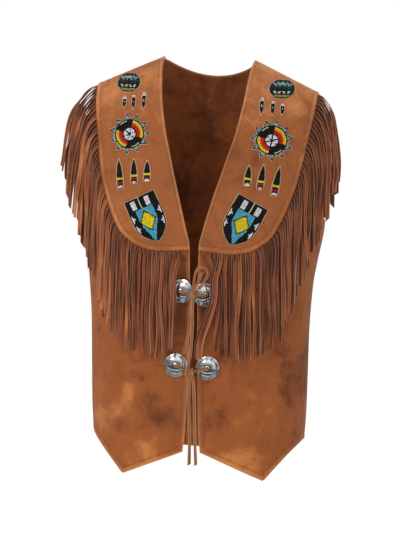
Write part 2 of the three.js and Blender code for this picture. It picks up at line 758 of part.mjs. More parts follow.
// Points of a lace over a concho's face, from its middle hole to the rim nearest the knot.
function armOver(row, knot) {
  const { centre, axis } = conchoSeat(row);
  const flat = vec(knot[0] - row.x, 0, knot[2] - row.z);
  const towards = flat.addScaledVector(axis, -flat.dot(axis)).normalize();
  const clear = LACE.radius + LACE.clear;
  return [[0, 1], [0.25, 0.93], [0.62, 0.62], [1.0, 0.22]].map(([out, high]) => {
    const p = centre.clone()
      .addScaledVector(towards, out * CONCHO.radius)
      .addScaledVector(axis, high * CONCHO.height + clear);
    return [p.x - lean(p.z), p.y, p.z];
  });
}

const KNOTS = {
  upper: { centre: [0.5, -137, -378], radii: [5.5, 4, 5] },
  lower: { centre: [-1, -125.5, -501], radii: [6, 4, 5.5] },
};
const BOW_LOOP = [
  [0.5, -137, -378], [3, -137, -362], [5.5, -135, -345], [10, -133, -335], [17, -132.5, -336],
  [21, -133, -344], [17, -134.5, -357], [8, -136.5, -370], [0.5, -137, -378]];
const BOW_END = [[0.5, -137, -378], [6, -140.5, -366], [11, -140.5, -354], [15, -139, -343]];

function buildTie(label, { centre, radii }, rows, extras) {
  const knot = new THREE.SphereGeometry(1, 12, 8);
  knot.scale(...radii);
  knot.translate(centre[0] + lean(centre[2]), centre[1], centre[2]);
  const pieces = [knot, ...extras];
  for (const row of rows) pieces.push(laceTube([...armOver(row, centre), centre], 7));
  const joined = pieces.map(toManifold).reduce((sum, next) => sum.add(next));
  addGeometry(label, fromManifold(joined), laceSuede);
}

// Free ends of the laces, from just under their knot.
const tailRows = [
  { name: 'lace_upper_tail_right', steps: 12,
    points: [[0.8, -139.3, -383.35], [0.7, -138.6, -396], [0.5, -136.6, -420], [0, -135, -447],
      [-2, -134, -470], [-4.5, -133.5, -487], [-8, -133, -505]] },
  { name: 'lace_upper_tail_left', steps: 9,
    points: [[-0.6, -134.8, -383.35], [-1.6, -132.8, -396], [-3.2, -130, -414], [-5.5, -128, -439],
      [-9, -127, -455], [-13, -126.5, -472]] },
  { name: 'lace_lower_tail_right', steps: 14,
    points: [[-3.3, -125.5, -506.85], [-4, -124.4, -520], [-4.6, -123, -540], [-3.4, -122, -575],
      [-2.6, -121.5, -611], [-2.8, -121.5, -648]] },
  { name: 'lace_lower_tail_left', steps: 14,
    points: [[1.3, -125.5, -506.85], [2.6, -124.4, -520], [3.8, -123, -540], [4.8, -122, -575],
      [6, -121.5, -611], [8, -121.5, -648]] },
];

// ---- Assembly ---------------------------------------------------------------------------------

buildBack();
for (const side of [-1, 1]) {
  buildFront(side);
  buildFringe(side);
  buildYoke(side);
  buildPatches(side);
}
conchoRows.forEach(buildConcho);
buildTie('lace_upper', KNOTS.upper, conchoRows.slice(0, 2), [laceTube(BOW_LOOP, 16), laceTube(BOW_END, 4)]);
buildTie('lace_lower', KNOTS.lower, conchoRows.slice(2), []);
for (const row of tailRows) addGeometry(row.name, laceTube(row.points, row.steps), laceSuede);

export default group;
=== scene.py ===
"""Fringed suede vest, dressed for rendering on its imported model.

Sizes in the tables are millimetres in the model's frame: +Z up, front towards -Y, the
wearer's left towards +X. They become metres where a mesh is made.
"""
import math
from types import SimpleNamespace as Table

import bpy
import numpy as np
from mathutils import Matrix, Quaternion, Vector


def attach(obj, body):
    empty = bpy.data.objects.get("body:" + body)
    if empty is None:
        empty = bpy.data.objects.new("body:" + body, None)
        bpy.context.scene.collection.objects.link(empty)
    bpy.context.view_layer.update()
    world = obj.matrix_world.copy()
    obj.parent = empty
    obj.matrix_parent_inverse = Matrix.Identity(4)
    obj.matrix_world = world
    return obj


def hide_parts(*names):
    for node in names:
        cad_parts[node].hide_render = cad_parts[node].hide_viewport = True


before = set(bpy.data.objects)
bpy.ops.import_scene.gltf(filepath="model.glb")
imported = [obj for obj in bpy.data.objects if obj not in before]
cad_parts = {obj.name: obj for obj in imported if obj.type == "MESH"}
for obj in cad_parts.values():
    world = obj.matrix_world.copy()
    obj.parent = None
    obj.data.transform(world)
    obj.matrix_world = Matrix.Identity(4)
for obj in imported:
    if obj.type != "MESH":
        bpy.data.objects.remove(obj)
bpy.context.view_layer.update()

MM = 0.001

# ---- Camera ---------------------------------------------------------------------------------

AIM = Vector((-0.0003, 0.0, -0.3336))
CAMERA = Table(distance=4.8, turn=5.8, roll=2.9, frame=0.8528, plane=0.07, sensor=36.0)


def make_camera():
    turn = math.radians(CAMERA.turn)
    back = Vector((math.sin(turn), -math.cos(turn), 0.0))
    data = bpy.data.cameras.new("camera")
    data.sensor_width = CAMERA.sensor
    data.lens = CAMERA.sensor * (CAMERA.distance - CAMERA.plane) / CAMERA.frame
    data.clip_end = 60.0
    camera = bpy.data.objects.new("camera", data)
    camera.location = AIM + back * CAMERA.distance
    camera.rotation_mode = "QUATERNION"
    roll = Quaternion((0.0, 0.0, 1.0), math.radians(CAMERA.roll))
    camera.rotation_quaternion = (-back).to_track_quat("-Z", "Y") @ roll
    bpy.context.scene.collection.objects.link(camera)
    bpy.context.scene.camera = camera


# ---- The form of the worn body, as in the model -----------------------------------------------

WALL, STRIP_LIFT, STRIP_WALL, STRIP_UNDER, STRIP_PROUD = 1.8, 2.4, 1.0, 9.0, 1.2
YOKE_LIFT, YOKE_WALL = 3.8, 1.4
NECK_HALF, SHOULDER_HALF, SHOULDER_SLOPE = 72.0, 180.0, 0.458
ROUND_FROM, UNDERARM, SQUARENESS, BACK_NECK_DROP = -150.0, -250.0, 2.4, 18.0
LEAN_FROM, LEAN_SLOPE, LEAN_EASE = -250.0, 0.037, 40.0

BODY_SECTIONS = [  # z, half width, depth of the front, depth of the back
    (-680, 166, 118, 117), (-620, 168, 116, 111), (-560, 172, 113.5, 105),
    (-500, 173.5, 112, 100), (-430, 175, 112, 98), (-350, 180.5, 115.5, 104),
    (-318, 186, 118, 109.5), (-250, 197, 121.5, 118), (-230, 197, 122, 120.5),
    (-190, 197, 117, 122), (-130, 197, 105, 119), (0, 197, 100, 116)]
FRONT_EDGE = [  # z, x of the free front edge and the neckline
    (-680, 15), (-628, 13.5), (-600, 11), (-520, 8), (-385, 6), (-300, 7.5), (-281, 12),
    (-240, 22.6), (-193, 36), (-160, 45), (-120, 56), (-69, 65), (0, 72)]
ARMHOLE_EDGE = [  # z, x on the front, x on the back
    (-250, 197, 197), (-245, 192.5, 193), (-228, 186, 188), (-193, 176, 181),
    (-168, 173, 178.5), (-122, 174.5, 178), (-49, 180, 180)]
HEM = Table(corner=(13.5, -628.0), point=(112.0, -669.0), side=(168.5, -603.0))
BACK_HEM_DROP = 29.0
YOKE_SIDE = [  # z, x
    (-290, 113), (-275, 124), (-260, 131.5), (-243, 138.5), (-222, 146), (-193, 154.5),
    (-168, 159.5), (-122, 167), (-85, 173), (-48, 177)]
YOKE_FOOT = [  # x, z
    (7, -308), (58, -311.5), (79, -308.5), (94, -303), (106, -295), (116, -286.5)]
YOKE_CORNER_Z, YOKE_CORNER_X, YOKE_FOOT_X, YOKE_TOP_Z = -286.5, 116.0, 7.4, -48.0


def smooth(rows, column=1):
    """Smooth function through the rows of a table, with no overshoot between rows."""
    at, value = (np.array([row[k] for row in rows], float) for k in (0, column))
    step = np.diff(at)
    rise = np.diff(value) / step
    slope = np.concatenate([rise[:1], rise[1:], rise[-1:]])
    product, total = rise[:-1] * rise[1:], rise[:-1] + rise[1:]
    slope[1:-1] = np.where(product > 0, 2 * product / np.where(product > 0, total, 1), 0)

    def of(x):
        u = np.clip(x, at[0], at[-1])
        k = np.clip(np.searchsorted(at, u) - 1, 0, len(at) - 2)
        h = step[k]
        t = (u - at[k]) / h
        s = 1 - t
        return (value[k] * s * s * (1 + 2 * t) + slope[k] * h * t * s * s
                + value[k + 1] * t * t * (3 - 2 * t) - slope[k + 1] * h * t * t * s)
    return of


half_width = smooth(BODY_SECTIONS)
DEPTH = {"front": smooth(BODY_SECTIONS, 2), "back": smooth(BODY_SECTIONS, 3)}
edge_x = smooth(FRONT_EDGE)
ARMHOLE_X = {"front": smooth(ARMHOLE_EDGE), "back": smooth(ARMHOLE_EDGE, 2)}
yoke_side_x = smooth(YOKE_SIDE)
yoke_foot_z = smooth(YOKE_FOOT)


def mix(a, b, t):
    return a + (b - a) * t


def ease(t):
    u = np.clip(t, 0, 1)
    return u * u * (3 - 2 * u)


def bell(off, width, power=2):
    """1 in the middle, falling to nothing over a width. A power of 4 has a flat top."""
    return np.exp(-(off / width) ** power)


def unit(v):
    return v / np.linalg.norm(v, axis=-1, keepdims=True)


def run_of(points):
    """Length along a line up to each of its points."""
    return np.concatenate([[0], np.cumsum(np.linalg.norm(np.diff(points, axis=0), axis=1))])


def points_at(where, run, rows):
    """Rows of three numbers between those that are known at each length of run."""
    return np.stack([np.interp(where, run, rows[:, k]) for k in range(3)], -1)


def heading(start, end):
    """Length and direction of a line in the plane."""
    across, up = end[0] - start[0], end[1] - start[1]
    length = math.hypot(across, up)
    return length, across / length, up / length


def scatter(index, salt):
    """Fixed scatter between -1 and 1."""
    wave = np.sin(np.asarray(index) * 12.9898 + salt * 78.233) * 43758.5453
    return 2 * (wave - np.floor(wave)) - 1


def ridge(x):
    return (NECK_HALF - np.abs(x)) * SHOULDER_SLOPE


def side_edge_x(z, face):
    return np.where(z <= UNDERARM, half_width(z), ARMHOLE_X[face](z))


def lean(z):
    below = np.maximum(0, LEAN_FROM - z)
    return LEAN_SLOPE * below * below / (below + LEAN_EASE)


def fullness(x, z):
    across = 1 - (np.abs(x) / half_width(z)) ** SQUARENESS
    rise = np.maximum(0, (z - ROUND_FROM) / (ridge(x) - ROUND_FROM))
    return across, 1 - rise ** SQUARENESS


def form_y(x, z, face):
    across, over = fullness(x, z)
    room = np.maximum(0, across) * np.maximum(0, over)
    y = np.maximum(DEPTH[face](z) * room ** (1 / SQUARENESS), 0.15)
    return -y if face == "front" else y


def form_normal(x, y, z, face):
    def level(px, py, pz):
        across, over = fullness(px, pz)
        return (np.abs(py) / DEPTH[face](pz)) ** SQUARENESS - across * over
    h = 0.05
    slope = np.stack([level(x + h, y, z) - level(x - h, y, z),
                      level(x, y + h, z) - level(x, y - h, z),
                      level(x, y, z + h) - level(x, y, z - h)], -1)
    return unit(slope)


# ---- Soft creases that the worn suede shows ---------------------------------------------------

CREASES = [  # face, x and z of both ends (signed x), width, height
    ("front", -132, -42, -157, -74, 6.5, 2.5),      # shoulder wrinkles, right
    ("front", -120, -50, -141, -98, 8.0, -1.6),
    ("front", -150, -50, -163, -96, 6.0, -1.3),
    ("front", 128, -40, 156, -78, 7.0, 2.3),        # shoulder wrinkles, left
    ("front", 118, -52, 146, -92, 8.0, -1.5),
    ("front", -40, -195, -62, -262, 12.0, -1.2),    # slack across the yokes
    ("front", 44, -205, 58, -268, 12.0, -1.1),
    ("front", -128, -215, -96, -276, 11.0, 1.4),
    ("front", 131, -205, 101, -280, 12.0, 1.3),
    ("front", 139, -420, 134, -596, 13.0, 2.6),     # long folds of the lower fronts
    ("front", 118, -440, 108, -640, 12.0, -2.0),
    ("front", 66, -515, 74, -648, 17.0, 1.8),
    ("front", -134, -432, -140, -588, 15.0, 2.0),
    ("front", -112, -470, -99, -650, 14.0, -1.9),
    ("front", -58, -520, -44, -628, 15.0, 1.6),
    ("front", -160, -300, -146, -392, 10.0, -1.8),  # below the armholes
    ("front", 162, -296, 148, -400, 10.0, -2.0),
    ("front", -166, -262, -120, -330, 9.0, 1.5),
    ("front", 167, -266, 126, -338, 9.0, 1.6),
    ("back", -70, -28, -96, -150, 14.0, 1.9),       # back: from the shoulders and the neck
    ("back", 74, -30, 104, -166, 13.0, 1.7),
    ("back", -150, -70, -128, -190, 12.0, -1.8),
    ("back", 152, -66, 134, -176, 11.0, -1.7),
    ("back", -150, -270, -92, -350, 12.0, 2.2),
    ("back", 149, -262, 86, -366, 13.0, 2.1),
    ("back", -118, -300, -60, -402, 11.0, -1.6),
    ("back", 112, -290, 50, -388, 12.0, -1.7),
    ("back", -64, -410, -78, -620, 18.0, 2.8),      # back: long folds down to the hem
    ("back", -14, -440, -20, -625, 15.0, -2.2),
    ("back", 42, -420, 52, -622, 17.0, 2.6),
    ("back", 96, -450, 108, -612, 14.0, -2.0),
    ("back", -122, -470, -134, -606, 14.0, -1.8)]


def relief(x, z, face):
    """Height of the creases at signed x, with an uneven run along each one."""
    height = np.zeros_like(x)
    for k, (on, x0, z0, x1, z1, width, size) in enumerate(CREASES):
        if on != face:
            continue
        length, ux, uz = heading((x0, z0), (x1, z1))
        along = (x - x0) * ux + (z - z0) * uz
        bend = 4.0 * np.sin(along / length * 4.2 + k)
        off = (x - x0) * uz - (z - z0) * ux + bend
        spread = width * (0.75 + 0.5 * np.clip(along / length, 0, 1))
        ends = ease((along + 14) / 44) * ease((length + 14 - along) / 44)
        uneven = 0.8 + 0.3 * np.sin(along / 23 + 2.1 * k)
        height += size * uneven * ends * bell(off, spread)
    wave = 1.5 * np.sin(x / 21 + 0.7) * np.sin(x / 47 + 1.9) * ease((-540 - z) / 120)
    slack = 0.5 * np.sin(x / 13 + z / 31) * np.sin(z / 19 - x / 37)
    return height + wave + slack


def panel_fade(x, z, face):
    """0 at the seams and the shoulder line, where the panels meet, and 1 inside them."""
    side = ease((side_edge_x(z, face) - np.abs(x) - 1) / 22)
    return side * ease((ridge(x) - z - 2) / 26)


def front_hem(x):
    (cx, cz), (px, pz), (sx, sz) = HEM.corner, HEM.point, HEM.side
    return np.where(x <= px, mix(cz, pz, (x - cx) / (px - cx)), mix(pz, sz, (x - px) / (sx - px)))


def back_hem(x):
    return HEM.side[1] - BACK_HEM_DROP * (1 - (x / HEM.side[0]) ** 2)


def back_top(x):
    inside = np.abs(x) / NECK_HALF
    return np.where(inside < 1, -BACK_NECK_DROP * (1 - inside ** 2), ridge(x))


def curl(x, z):
    """The front edge of the lower fronts rolls outwards a little."""
    off = np.maximum(x - edge_x(z), 0)
    return 2.6 * bell(off, 6.5) * ease((-500 - z) / 70) * (0.7 + 0.3 * np.sin(z / 17))


def skin(x, z, face, lift, side=1, edge_curl=0.0):
    """Points over the form: x is measured from the middle, before the mirror and the lean."""
    y = form_y(x, z, face)
    normal = form_normal(x, y, z, face)
    rise = lift + relief(x * side, z, face) * panel_fade(x, z, face) + edge_curl
    return np.stack([x, y, z], -1) + normal * np.asarray(rise)[..., None]


def placed(points, side):
    """Model points of plane points: mirrored for side -1 and leaned with the body."""
    return np.stack([points[..., 0] * side + lean(points[..., 2]), points[..., 1],
                     points[..., 2]], -1)


# ---- Meshes -----------------------------------------------------------------------------------

def make_piece(name, points, faces, material, replaced=(), slot=None, sharp=None, **paint):
    """A piece from millimetre points. paint gives a value or a colour for each point."""
    points = np.asarray(points, float).reshape(-1, 3)
    mesh = bpy.data.meshes.new(name)
    mesh.from_pydata((points * MM).tolist(), [], [list(map(int, face)) for face in faces])
    for label, values in paint.items():
        values = np.asarray(values, float)
        if values.ndim == 1:
            layer = mesh.attributes.new(label, "FLOAT", "POINT")
            layer.data.foreach_set("value", values)
        else:
            layer = mesh.attributes.new(label, "FLOAT_COLOR", "POINT")
            rgba = np.concatenate([values, np.ones((len(values), 1))], 1)
            layer.data.foreach_set("color", rgba.ravel())
    mesh.shade_smooth()
    if sharp is not None:
        mesh.set_sharp_from_angle(angle=math.radians(sharp))
    mesh.materials.append(material)
    piece = bpy.data.objects.new(name, mesh)
    bpy.context.scene.collection.objects.link(piece)
    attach(piece, "root")
    if replaced:
        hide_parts(*replaced)
    return piece


def grid_faces(rows, columns, first=0):
    a = first + np.arange(rows - 1)[:, None] * columns + np.arange(columns - 1)[None, :]
    return np.stack([a, a + 1, a + columns + 1, a + columns], -1).reshape(-1, 4)


def tube_faces(rings, sides, capped=True):
    """Quads round a tube of rings of points, and its two ends."""
    ring, start = np.arange(sides), np.arange(rings - 1)[:, None] * sides
    a, b = start + ring, start + np.roll(ring, -1)
    faces = np.stack([a, b, b + sides, a + sides], -1).reshape(-1, 4).tolist()
    ends = [ring[::-1].tolist(), (ring + (rings - 1) * sides).tolist()]
    return faces + ends if capped else faces


def joined(parts):
    """One mesh from parts of points, faces, tone and cut."""
    faces, count = [], 0
    for points, part_faces, _, _ in parts:
        faces += [[count + int(v) for v in face] for face in part_faces]
        count += len(points)
    points, tone, cut = (np.concatenate([part[k] for part in parts]) for k in (0, 2, 3))
    return points, faces, tone, cut


def shell(inner, outer, side):
    """A closed wall from two grids of points (rows, columns, 3)."""
    rows, columns = inner.shape[:2]
    count = rows * columns
    under = grid_faces(rows, columns)
    over = grid_faces(rows, columns, count)
    index = np.arange(count).reshape(rows, columns)
    rim = np.concatenate([index[0, :], index[1:, -1], index[-1, -2::-1], index[-2:0:-1, 0]])
    nxt = np.roll(rim, -1)
    wall = np.stack([rim, rim + count, nxt + count, nxt], -1)
    faces = np.concatenate([under, over[:, ::-1], wall])
    points = placed(np.concatenate([inner.reshape(-1, 3), outer.reshape(-1, 3)]), side)
    return points, turned_out(points, faces)


def turned_out(points, faces):
    a, b, c, d = (points[faces[:, k]] for k in range(4))
    volume = np.einsum("ij,ij->i", a, np.cross(b, c)).sum()
    volume += np.einsum("ij,ij->i", a, np.cross(c, d)).sum()
    return faces if volume > 0 else faces[:, ::-1]


def side_name(base, side):
    return f"{base}_{'left' if side > 0 else 'right'}"


# ---- Nodes of materials and of the world -------------------------------------------------------

BUMP_DEPTH = 0.0006  # m, of a surface's fine relief


class Tree:
    """Short calls for the nodes of a material or of the world."""

    def __init__(self, owner):
        owner.use_nodes = True
        self.owner = owner
        self.nodes, self.links = owner.node_tree.nodes, owner.node_tree.links
        self.places = self.nodes.new("ShaderNodeTexCoord").outputs

    def give(self, node, inputs):
        for key, value in inputs.items():
            if isinstance(value, bpy.types.NodeSocket):
                self.links.new(value, node.inputs[key])
            else:
                node.inputs[key].default_value = value

    def add(self, kind, output, inputs, **settings):
        node = self.nodes.new(f"ShaderNode{kind}")
        for key, value in settings.items():
            setattr(node, key, value)
        self.give(node, inputs)
        return node.outputs[output]

    def calc(self, operation, *values):
        return self.add("Math", 0, dict(enumerate(values)), operation=operation)

    def noise(self, scale, detail=2.0, roughness=0.5, distortion=0.0):
        return self.add("TexNoise", "Fac", {
            "Vector": self.places["Object"], "Scale": scale, "Detail": detail,
            "Roughness": roughness, "Distortion": distortion})

    def attribute(self, label, output="Fac"):
        return self.add("Attribute", output, {}, attribute_name=label)

    def spread(self, value, low, high, start=0.0, end=1.0):
        return self.add("MapRange", "Result", {"Value": value, "From Min": start, "From Max": end,
                                               "To Min": low, "To Max": high})

    def ramp(self, value, stops, interpolation="LINEAR"):
        node = self.nodes.new("ShaderNodeValToRGB")
        node.color_ramp.interpolation = interpolation
        marks = node.color_ramp.elements
        for mark, (position, colour) in zip(marks, (stops[0], stops[-1])):
            mark.position, mark.color = position, (*colour, 1)
        for position, colour in stops[1:-1]:
            marks.new(position).color = (*colour, 1)
        self.give(node, {"Fac": value})
        return node.outputs["Color"]

    def bump(self, height, strength):
        return self.add("Bump", "Normal", {"Height": height, "Strength": strength,
                                           "Distance": BUMP_DEPTH})

    def mixed(self, share, first, second):
        return self.add("MixShader", 0, {0: share, 1: first, 2: second})

    def surface(self, inputs):
        """Settings of the material's own shader."""
        self.give(self.nodes["Principled BSDF"], inputs)
        return self.owner


# ---- Suede ------------------------------------------------------------------------------------

def srgb(red, green, blue):
    def linear(c):
        c /= 255
        return c / 12.92 if c <= 0.04045 else ((c + 0.055) / 1.055) ** 2.4
    return tuple(linear(c) for c in (red, green, blue))


def suede(name, base, dark, light, blotch=1.0, nap=0.35, edge=(214, 158, 112)):
    """Suede: large stains, finger marks in the nap, and fine grain. The attributes are tone
    (below 0 darker, above 0 lighter; it also carries painted shade and painted light) and cut
    (1 on a cut edge; on the strands it also carries a painted highlight)."""
    tree = Tree(bpy.data.materials.new(name))

    def centred(value, size):
        return tree.calc("MULTIPLY", tree.calc("SUBTRACT", value, 0.5), size)

    stains = centred(tree.noise(13, 4, 0.6, 0.6), 1.9 * blotch)
    marks = centred(tree.noise(46, 5, 0.62, 0.9), 0.95 * blotch)
    grain = centred(tree.noise(420, 3, 0.7), 0.55)
    tone = tree.calc("ADD", tree.calc("ADD", stains, marks),
                     tree.calc("ADD", grain, tree.attribute("tone")))
    hide = tree.ramp(tree.calc("ADD", tree.calc("MULTIPLY", tone, 0.5), 0.5),
                     [(0.0, srgb(*dark)), (0.5, srgb(*base)), (1.0, srgb(*light))], "EASE")
    colour = tree.add("MixRGB", "Color", {"Fac": tree.attribute("cut"), "Color1": hide,
                                          "Color2": (*srgb(*edge), 1)})
    fuzz = tree.calc("ADD", tree.noise(900, 3, 0.7),
                     tree.calc("MULTIPLY", tree.noise(150, 4, 0.6), 1.4))
    return tree.surface({
        "Base Color": colour,
        "Roughness": tree.calc("ADD", centred(tree.noise(160, 3, 0.55), 0.16), 0.88),
        "Specular IOR Level": 0.25, "Sheen Weight": 0.16, "Sheen Roughness": 0.45,
        "Sheen Tint": (*srgb(236, 190, 150), 1), "Normal": tree.bump(fuzz, nap)})


BODY_SUEDE = suede("suede_body", (146, 80, 38), (92, 46, 22), (190, 120, 64), blotch=1.25)
YOKE_SUEDE = suede("suede_yoke", (150, 86, 45), (106, 56, 30), (196, 126, 76), blotch=1.2)
FRINGE_SUEDE = suede("suede_fringe", (126, 65, 35), (76, 36, 20), (184, 112, 68), blotch=1.0,
                     edge=(206, 150, 116))
LACE_SUEDE = suede("suede_lace", (124, 71, 41), (86, 48, 30), (170, 112, 72), blotch=0.5)
# The shaded nap behind the strands.
UNDER_FRINGE = Table(tone=-0.62, length=176.0, fade=80.0, outer_x=160.0)

# ---- Fronts and back --------------------------------------------------------------------------

STAINS_AND_SHADE = [  # face, x, z, reach across, reach up, tone
    # The first two rows are painted shade beside the conchos; the others are stains.
    ("front", -48, -470, 30, 22, -0.3),
    ("front", 58, -474, 34, 20, -0.3),
    ("front", -104, -548, 13, 26, 0.8), ("front", -122, -572, 13, 16, 0.55),
    ("front", -100, -592, 24, 9, -0.5), ("front", -66, -546, 14, 15, -0.4),
    ("front", -96, -514, 22, 11, -0.42), ("front", -84, -632, 34, 17, 0.4),
    ("front", -150, -585, 11, 34, 0.35), ("front", -50, -590, 20, 22, -0.3),
    ("front", 150, -520, 12, 48, -0.4), ("front", 138, -462, 16, 26, -0.35),
    ("front", 84, -575, 28, 30, 0.25), ("front", 40, -560, 16, 34, -0.2),
    ("front", 70, -632, 26, 14, 0.3), ("front", 118, -610, 18, 24, -0.3),
    ("back", -60, -540, 36, 30, 0.5), ("back", 44, -470, 30, 40, -0.5),
    ("back", 92, -580, 30, 24, 0.45), ("back", -104, -400, 28, 44, -0.4),
    ("back", 10, -300, 44, 36, 0.3), ("back", -20, -180, 50, 40, -0.3),
    ("back", 96, -210, 30, 40, 0.35), ("back", -96, -110, 30, 30, 0.35)]
FOLD_BAND = 8.0  # width of the turned edge


def stain_and_shade_tone(x, z, face):
    tone = np.zeros_like(x)
    for on, sx, sz, across, up, size in STAINS_AND_SHADE:
        if on == face:
            tone += size * np.exp(-((x - sx) / across) ** 2 - ((z - sz) / up) ** 2)
    return tone


def row_weights(lower, middle, upper):
    """How much of the hem, of each fixed height and of the top line makes up each row."""
    rows = [(1 - t, t, 0.0, 0.0) for t in lower]
    for i in range(middle):
        t = 1 - math.cos(i / middle * math.pi / 2)
        rows.append((0.0, 1 - t, t, 0.0))
    for i in range(upper + 1):
        t = math.sin(i / upper * math.pi / 2) ** (2 / SQUARENESS)
        rows.append((0.0, 0.0, 1 - t, t))
    return np.array(rows)


def panel_plane(columns, face, inner_x, hem, top, weights):
    def rows_at(hem_z, top_z):
        parts = [hem_z, UNDERARM, ROUND_FROM, top_z]
        return sum(weights[:, k:k + 1] * parts[k] for k in range(4))

    def angle_at(x, half):
        return np.arcsin(np.clip(x / half, 0, 1) ** (SQUARENESS / 2))

    def width_at(angle, half):
        return half * np.sin(angle) ** (2 / SQUARENESS)

    columns = np.asarray(columns)[None, :]
    hem_half = half_width(HEM.side[1])
    hem_in = angle_at(inner_x(HEM.corner[1]), hem_half)
    hem_x = width_at(mix(hem_in, math.pi / 2, np.abs(columns)), hem_half)
    outer_z = rows_at(HEM.side[1], ridge(SHOULDER_HALF))
    inner_z = rows_at(HEM.corner[1], 0.0)
    half = half_width(outer_z)
    start, end = angle_at(inner_x(inner_z), half), angle_at(side_edge_x(outer_z, face), half)
    x = width_at(mix(start, end, np.abs(columns)), half)
    parts = [hem(hem_x), UNDERARM, ROUND_FROM, top(x)]
    z = sum(weights[:, k:k + 1] * parts[k] for k in range(4)) + 0 * x
    z = np.where(np.abs(columns) == 1, outer_z + 0 * x, z)
    return np.where(columns < 0, -x, x), z


def fine_steps(edges, start, end, count):
    return list(edges) + list(np.linspace(start, end, count))


LOWER_ROWS = fine_steps([0, 0.004, 0.009, 0.015, 0.019, 0.022, 0.026, 0.034], 0.045, 1, 62)[:-1]
PANEL_ROWS = row_weights(LOWER_ROWS, 18, 24)


def panel_paint(x, z, face, side, edge_off):
    """tone and cut of a panel's two faces, from the distance to its nearest free edge."""
    band = bell(edge_off, FOLD_BAND, 4)
    # Painted shade: darker in the groove inside the turned edge and along the side seams.
    crease = bell(edge_off - FOLD_BAND, 1.3)
    seam_shade = bell(side_edge_x(z, face) - np.abs(x), 5)
    tone = stain_and_shade_tone(x * side, z, face) + 0.3 * band - 0.14 * crease - 0.35 * seam_shade
    return tone, 0.45 * bell(edge_off, 1.6)


def fold_relief(edge_off):
    return 0.35 * bell(edge_off, FOLD_BAND, 4) - 0.15 * bell(edge_off - FOLD_BAND, 1.2)


def fringe_shade(x, z):
    """Dark tone of the fronts behind the fringe, which keeps the light off them."""
    below = np.interp(x, *zip(*YOKE_FOOT)) - z
    inside = ease((below + 6) / 12) * ease((UNDER_FRINGE.length - below) / UNDER_FRINGE.fade)
    return UNDER_FRINGE.tone * inside * ease((UNDER_FRINGE.outer_x - x) / 45)


def build_panel(name, x, z, face, side, edge_off, replaced):
    rolled = curl(x, z) if face == "front" else 0.0
    inner = skin(x, z, face, 0.0, side, rolled)
    outer = skin(x, z, face, WALL + fold_relief(edge_off), side, rolled)
    points, faces = shell(inner, outer, side)
    tone, cut = panel_paint(x, z, face, side, edge_off)
    if face == "front":
        tone = tone + fringe_shade(x, z)
    # The inside faces take a plainer tone, darkened as painted shade.
    tone = np.concatenate([(tone * 0.3 - 0.35).ravel(), tone.ravel()])
    return make_piece(name, points, faces, BODY_SUEDE, replaced, "suede_body", 50,
                      tone=tone, cut=np.tile(cut.ravel(), 2))


def build_front(side):
    edge = [0, 0.004, 0.01, 0.02, 0.032, 0.038, 0.043, 0.048, 0.056]
    columns = fine_steps(edge, 0.07, 1, 56)
    x, z = panel_plane(columns, "front", edge_x, front_hem, ridge, PANEL_ROWS)
    to_hem = (z - front_hem(x)) * np.where(x < HEM.point[0], 0.92, 0.65)
    off = np.minimum((x - edge_x(z)) * np.where(z < -300, 1.0, 0.93), np.maximum(to_hem, 0))
    return build_panel(side_name("front_shell", side), x, z, "front", side, off,
                       [side_name("front", side)])


def build_back():
    half = fine_steps([], 0, 1, 62)
    columns = [-c for c in half[:0:-1]] + half
    x, z = panel_plane(columns, "back", lambda z: 0 * np.asarray(z), back_hem, back_top,
                       PANEL_ROWS)
    off = z - back_hem(x)
    neck = np.where(np.abs(x) < NECK_HALF, back_top(x) - z, 999)
    return build_panel("back_shell", x, z, "back", 1, np.minimum(off, neck), ["back"])


# ---- Yokes ------------------------------------------------------------------------------------

YOKE_ACROSS, YOKE_UPPER, YOKE_LOWER = 46, 26, 58


def yoke_plane():
    rise = [math.sin((1 - i / YOKE_UPPER) * math.pi / 2) ** (2 / SQUARENESS)
            for i in range(YOKE_UPPER)] + [0.0] * (YOKE_LOWER + 1)
    fall = [0.0] * YOKE_UPPER + [i / YOKE_LOWER for i in range(YOKE_LOWER + 1)]
    rise, fall = np.array(rise)[:, None], np.array(fall)[:, None]
    foot_z = yoke_foot_z(YOKE_FOOT_X)
    u = np.linspace(0, 1, YOKE_ACROSS + 1)
    u = (u - 0.35 * np.sin(2 * np.pi * u) / (2 * np.pi))[None, :]
    top = ridge(yoke_side_x(YOKE_TOP_Z))
    inner_z = mix(mix(ROUND_FROM, 0.0, rise), foot_z, fall)
    outer_z = mix(mix(ROUND_FROM, top, rise), YOKE_CORNER_Z, fall)
    x = mix(edge_x(inner_z), yoke_side_x(outer_z), u)
    sag = yoke_foot_z(mix(YOKE_FOOT_X, YOKE_CORNER_X, u)) - mix(foot_z, YOKE_CORNER_Z, u)
    z = np.where(fall > 0, mix(inner_z, outer_z, u) + sag * fall * fall,
                 mix(ROUND_FROM, ridge(x), rise))
    return x, z


YOKE_X, YOKE_Z = yoke_plane()


def yoke_edge_line():
    """The yoke's lower edge from the shoulder to the front edge, as plane points."""
    x = np.concatenate([YOKE_X[:, -1], YOKE_X[-1, -2::-1]])
    z = np.concatenate([YOKE_Z[:, -1], YOKE_Z[-1, -2::-1]])
    return x, z


EDGE_X, EDGE_Z = yoke_edge_line()
CORNER_ROW = YOKE_X.shape[0] - 1


def yoke_edge_distance(x, z):
    """Plane distance of each point to the yoke's lower edge."""
    px, pz = EDGE_X[::2], EDGE_Z[::2]
    gap = (x[..., None] - px) ** 2 + (z[..., None] - pz) ** 2
    return np.sqrt(gap.min(-1))


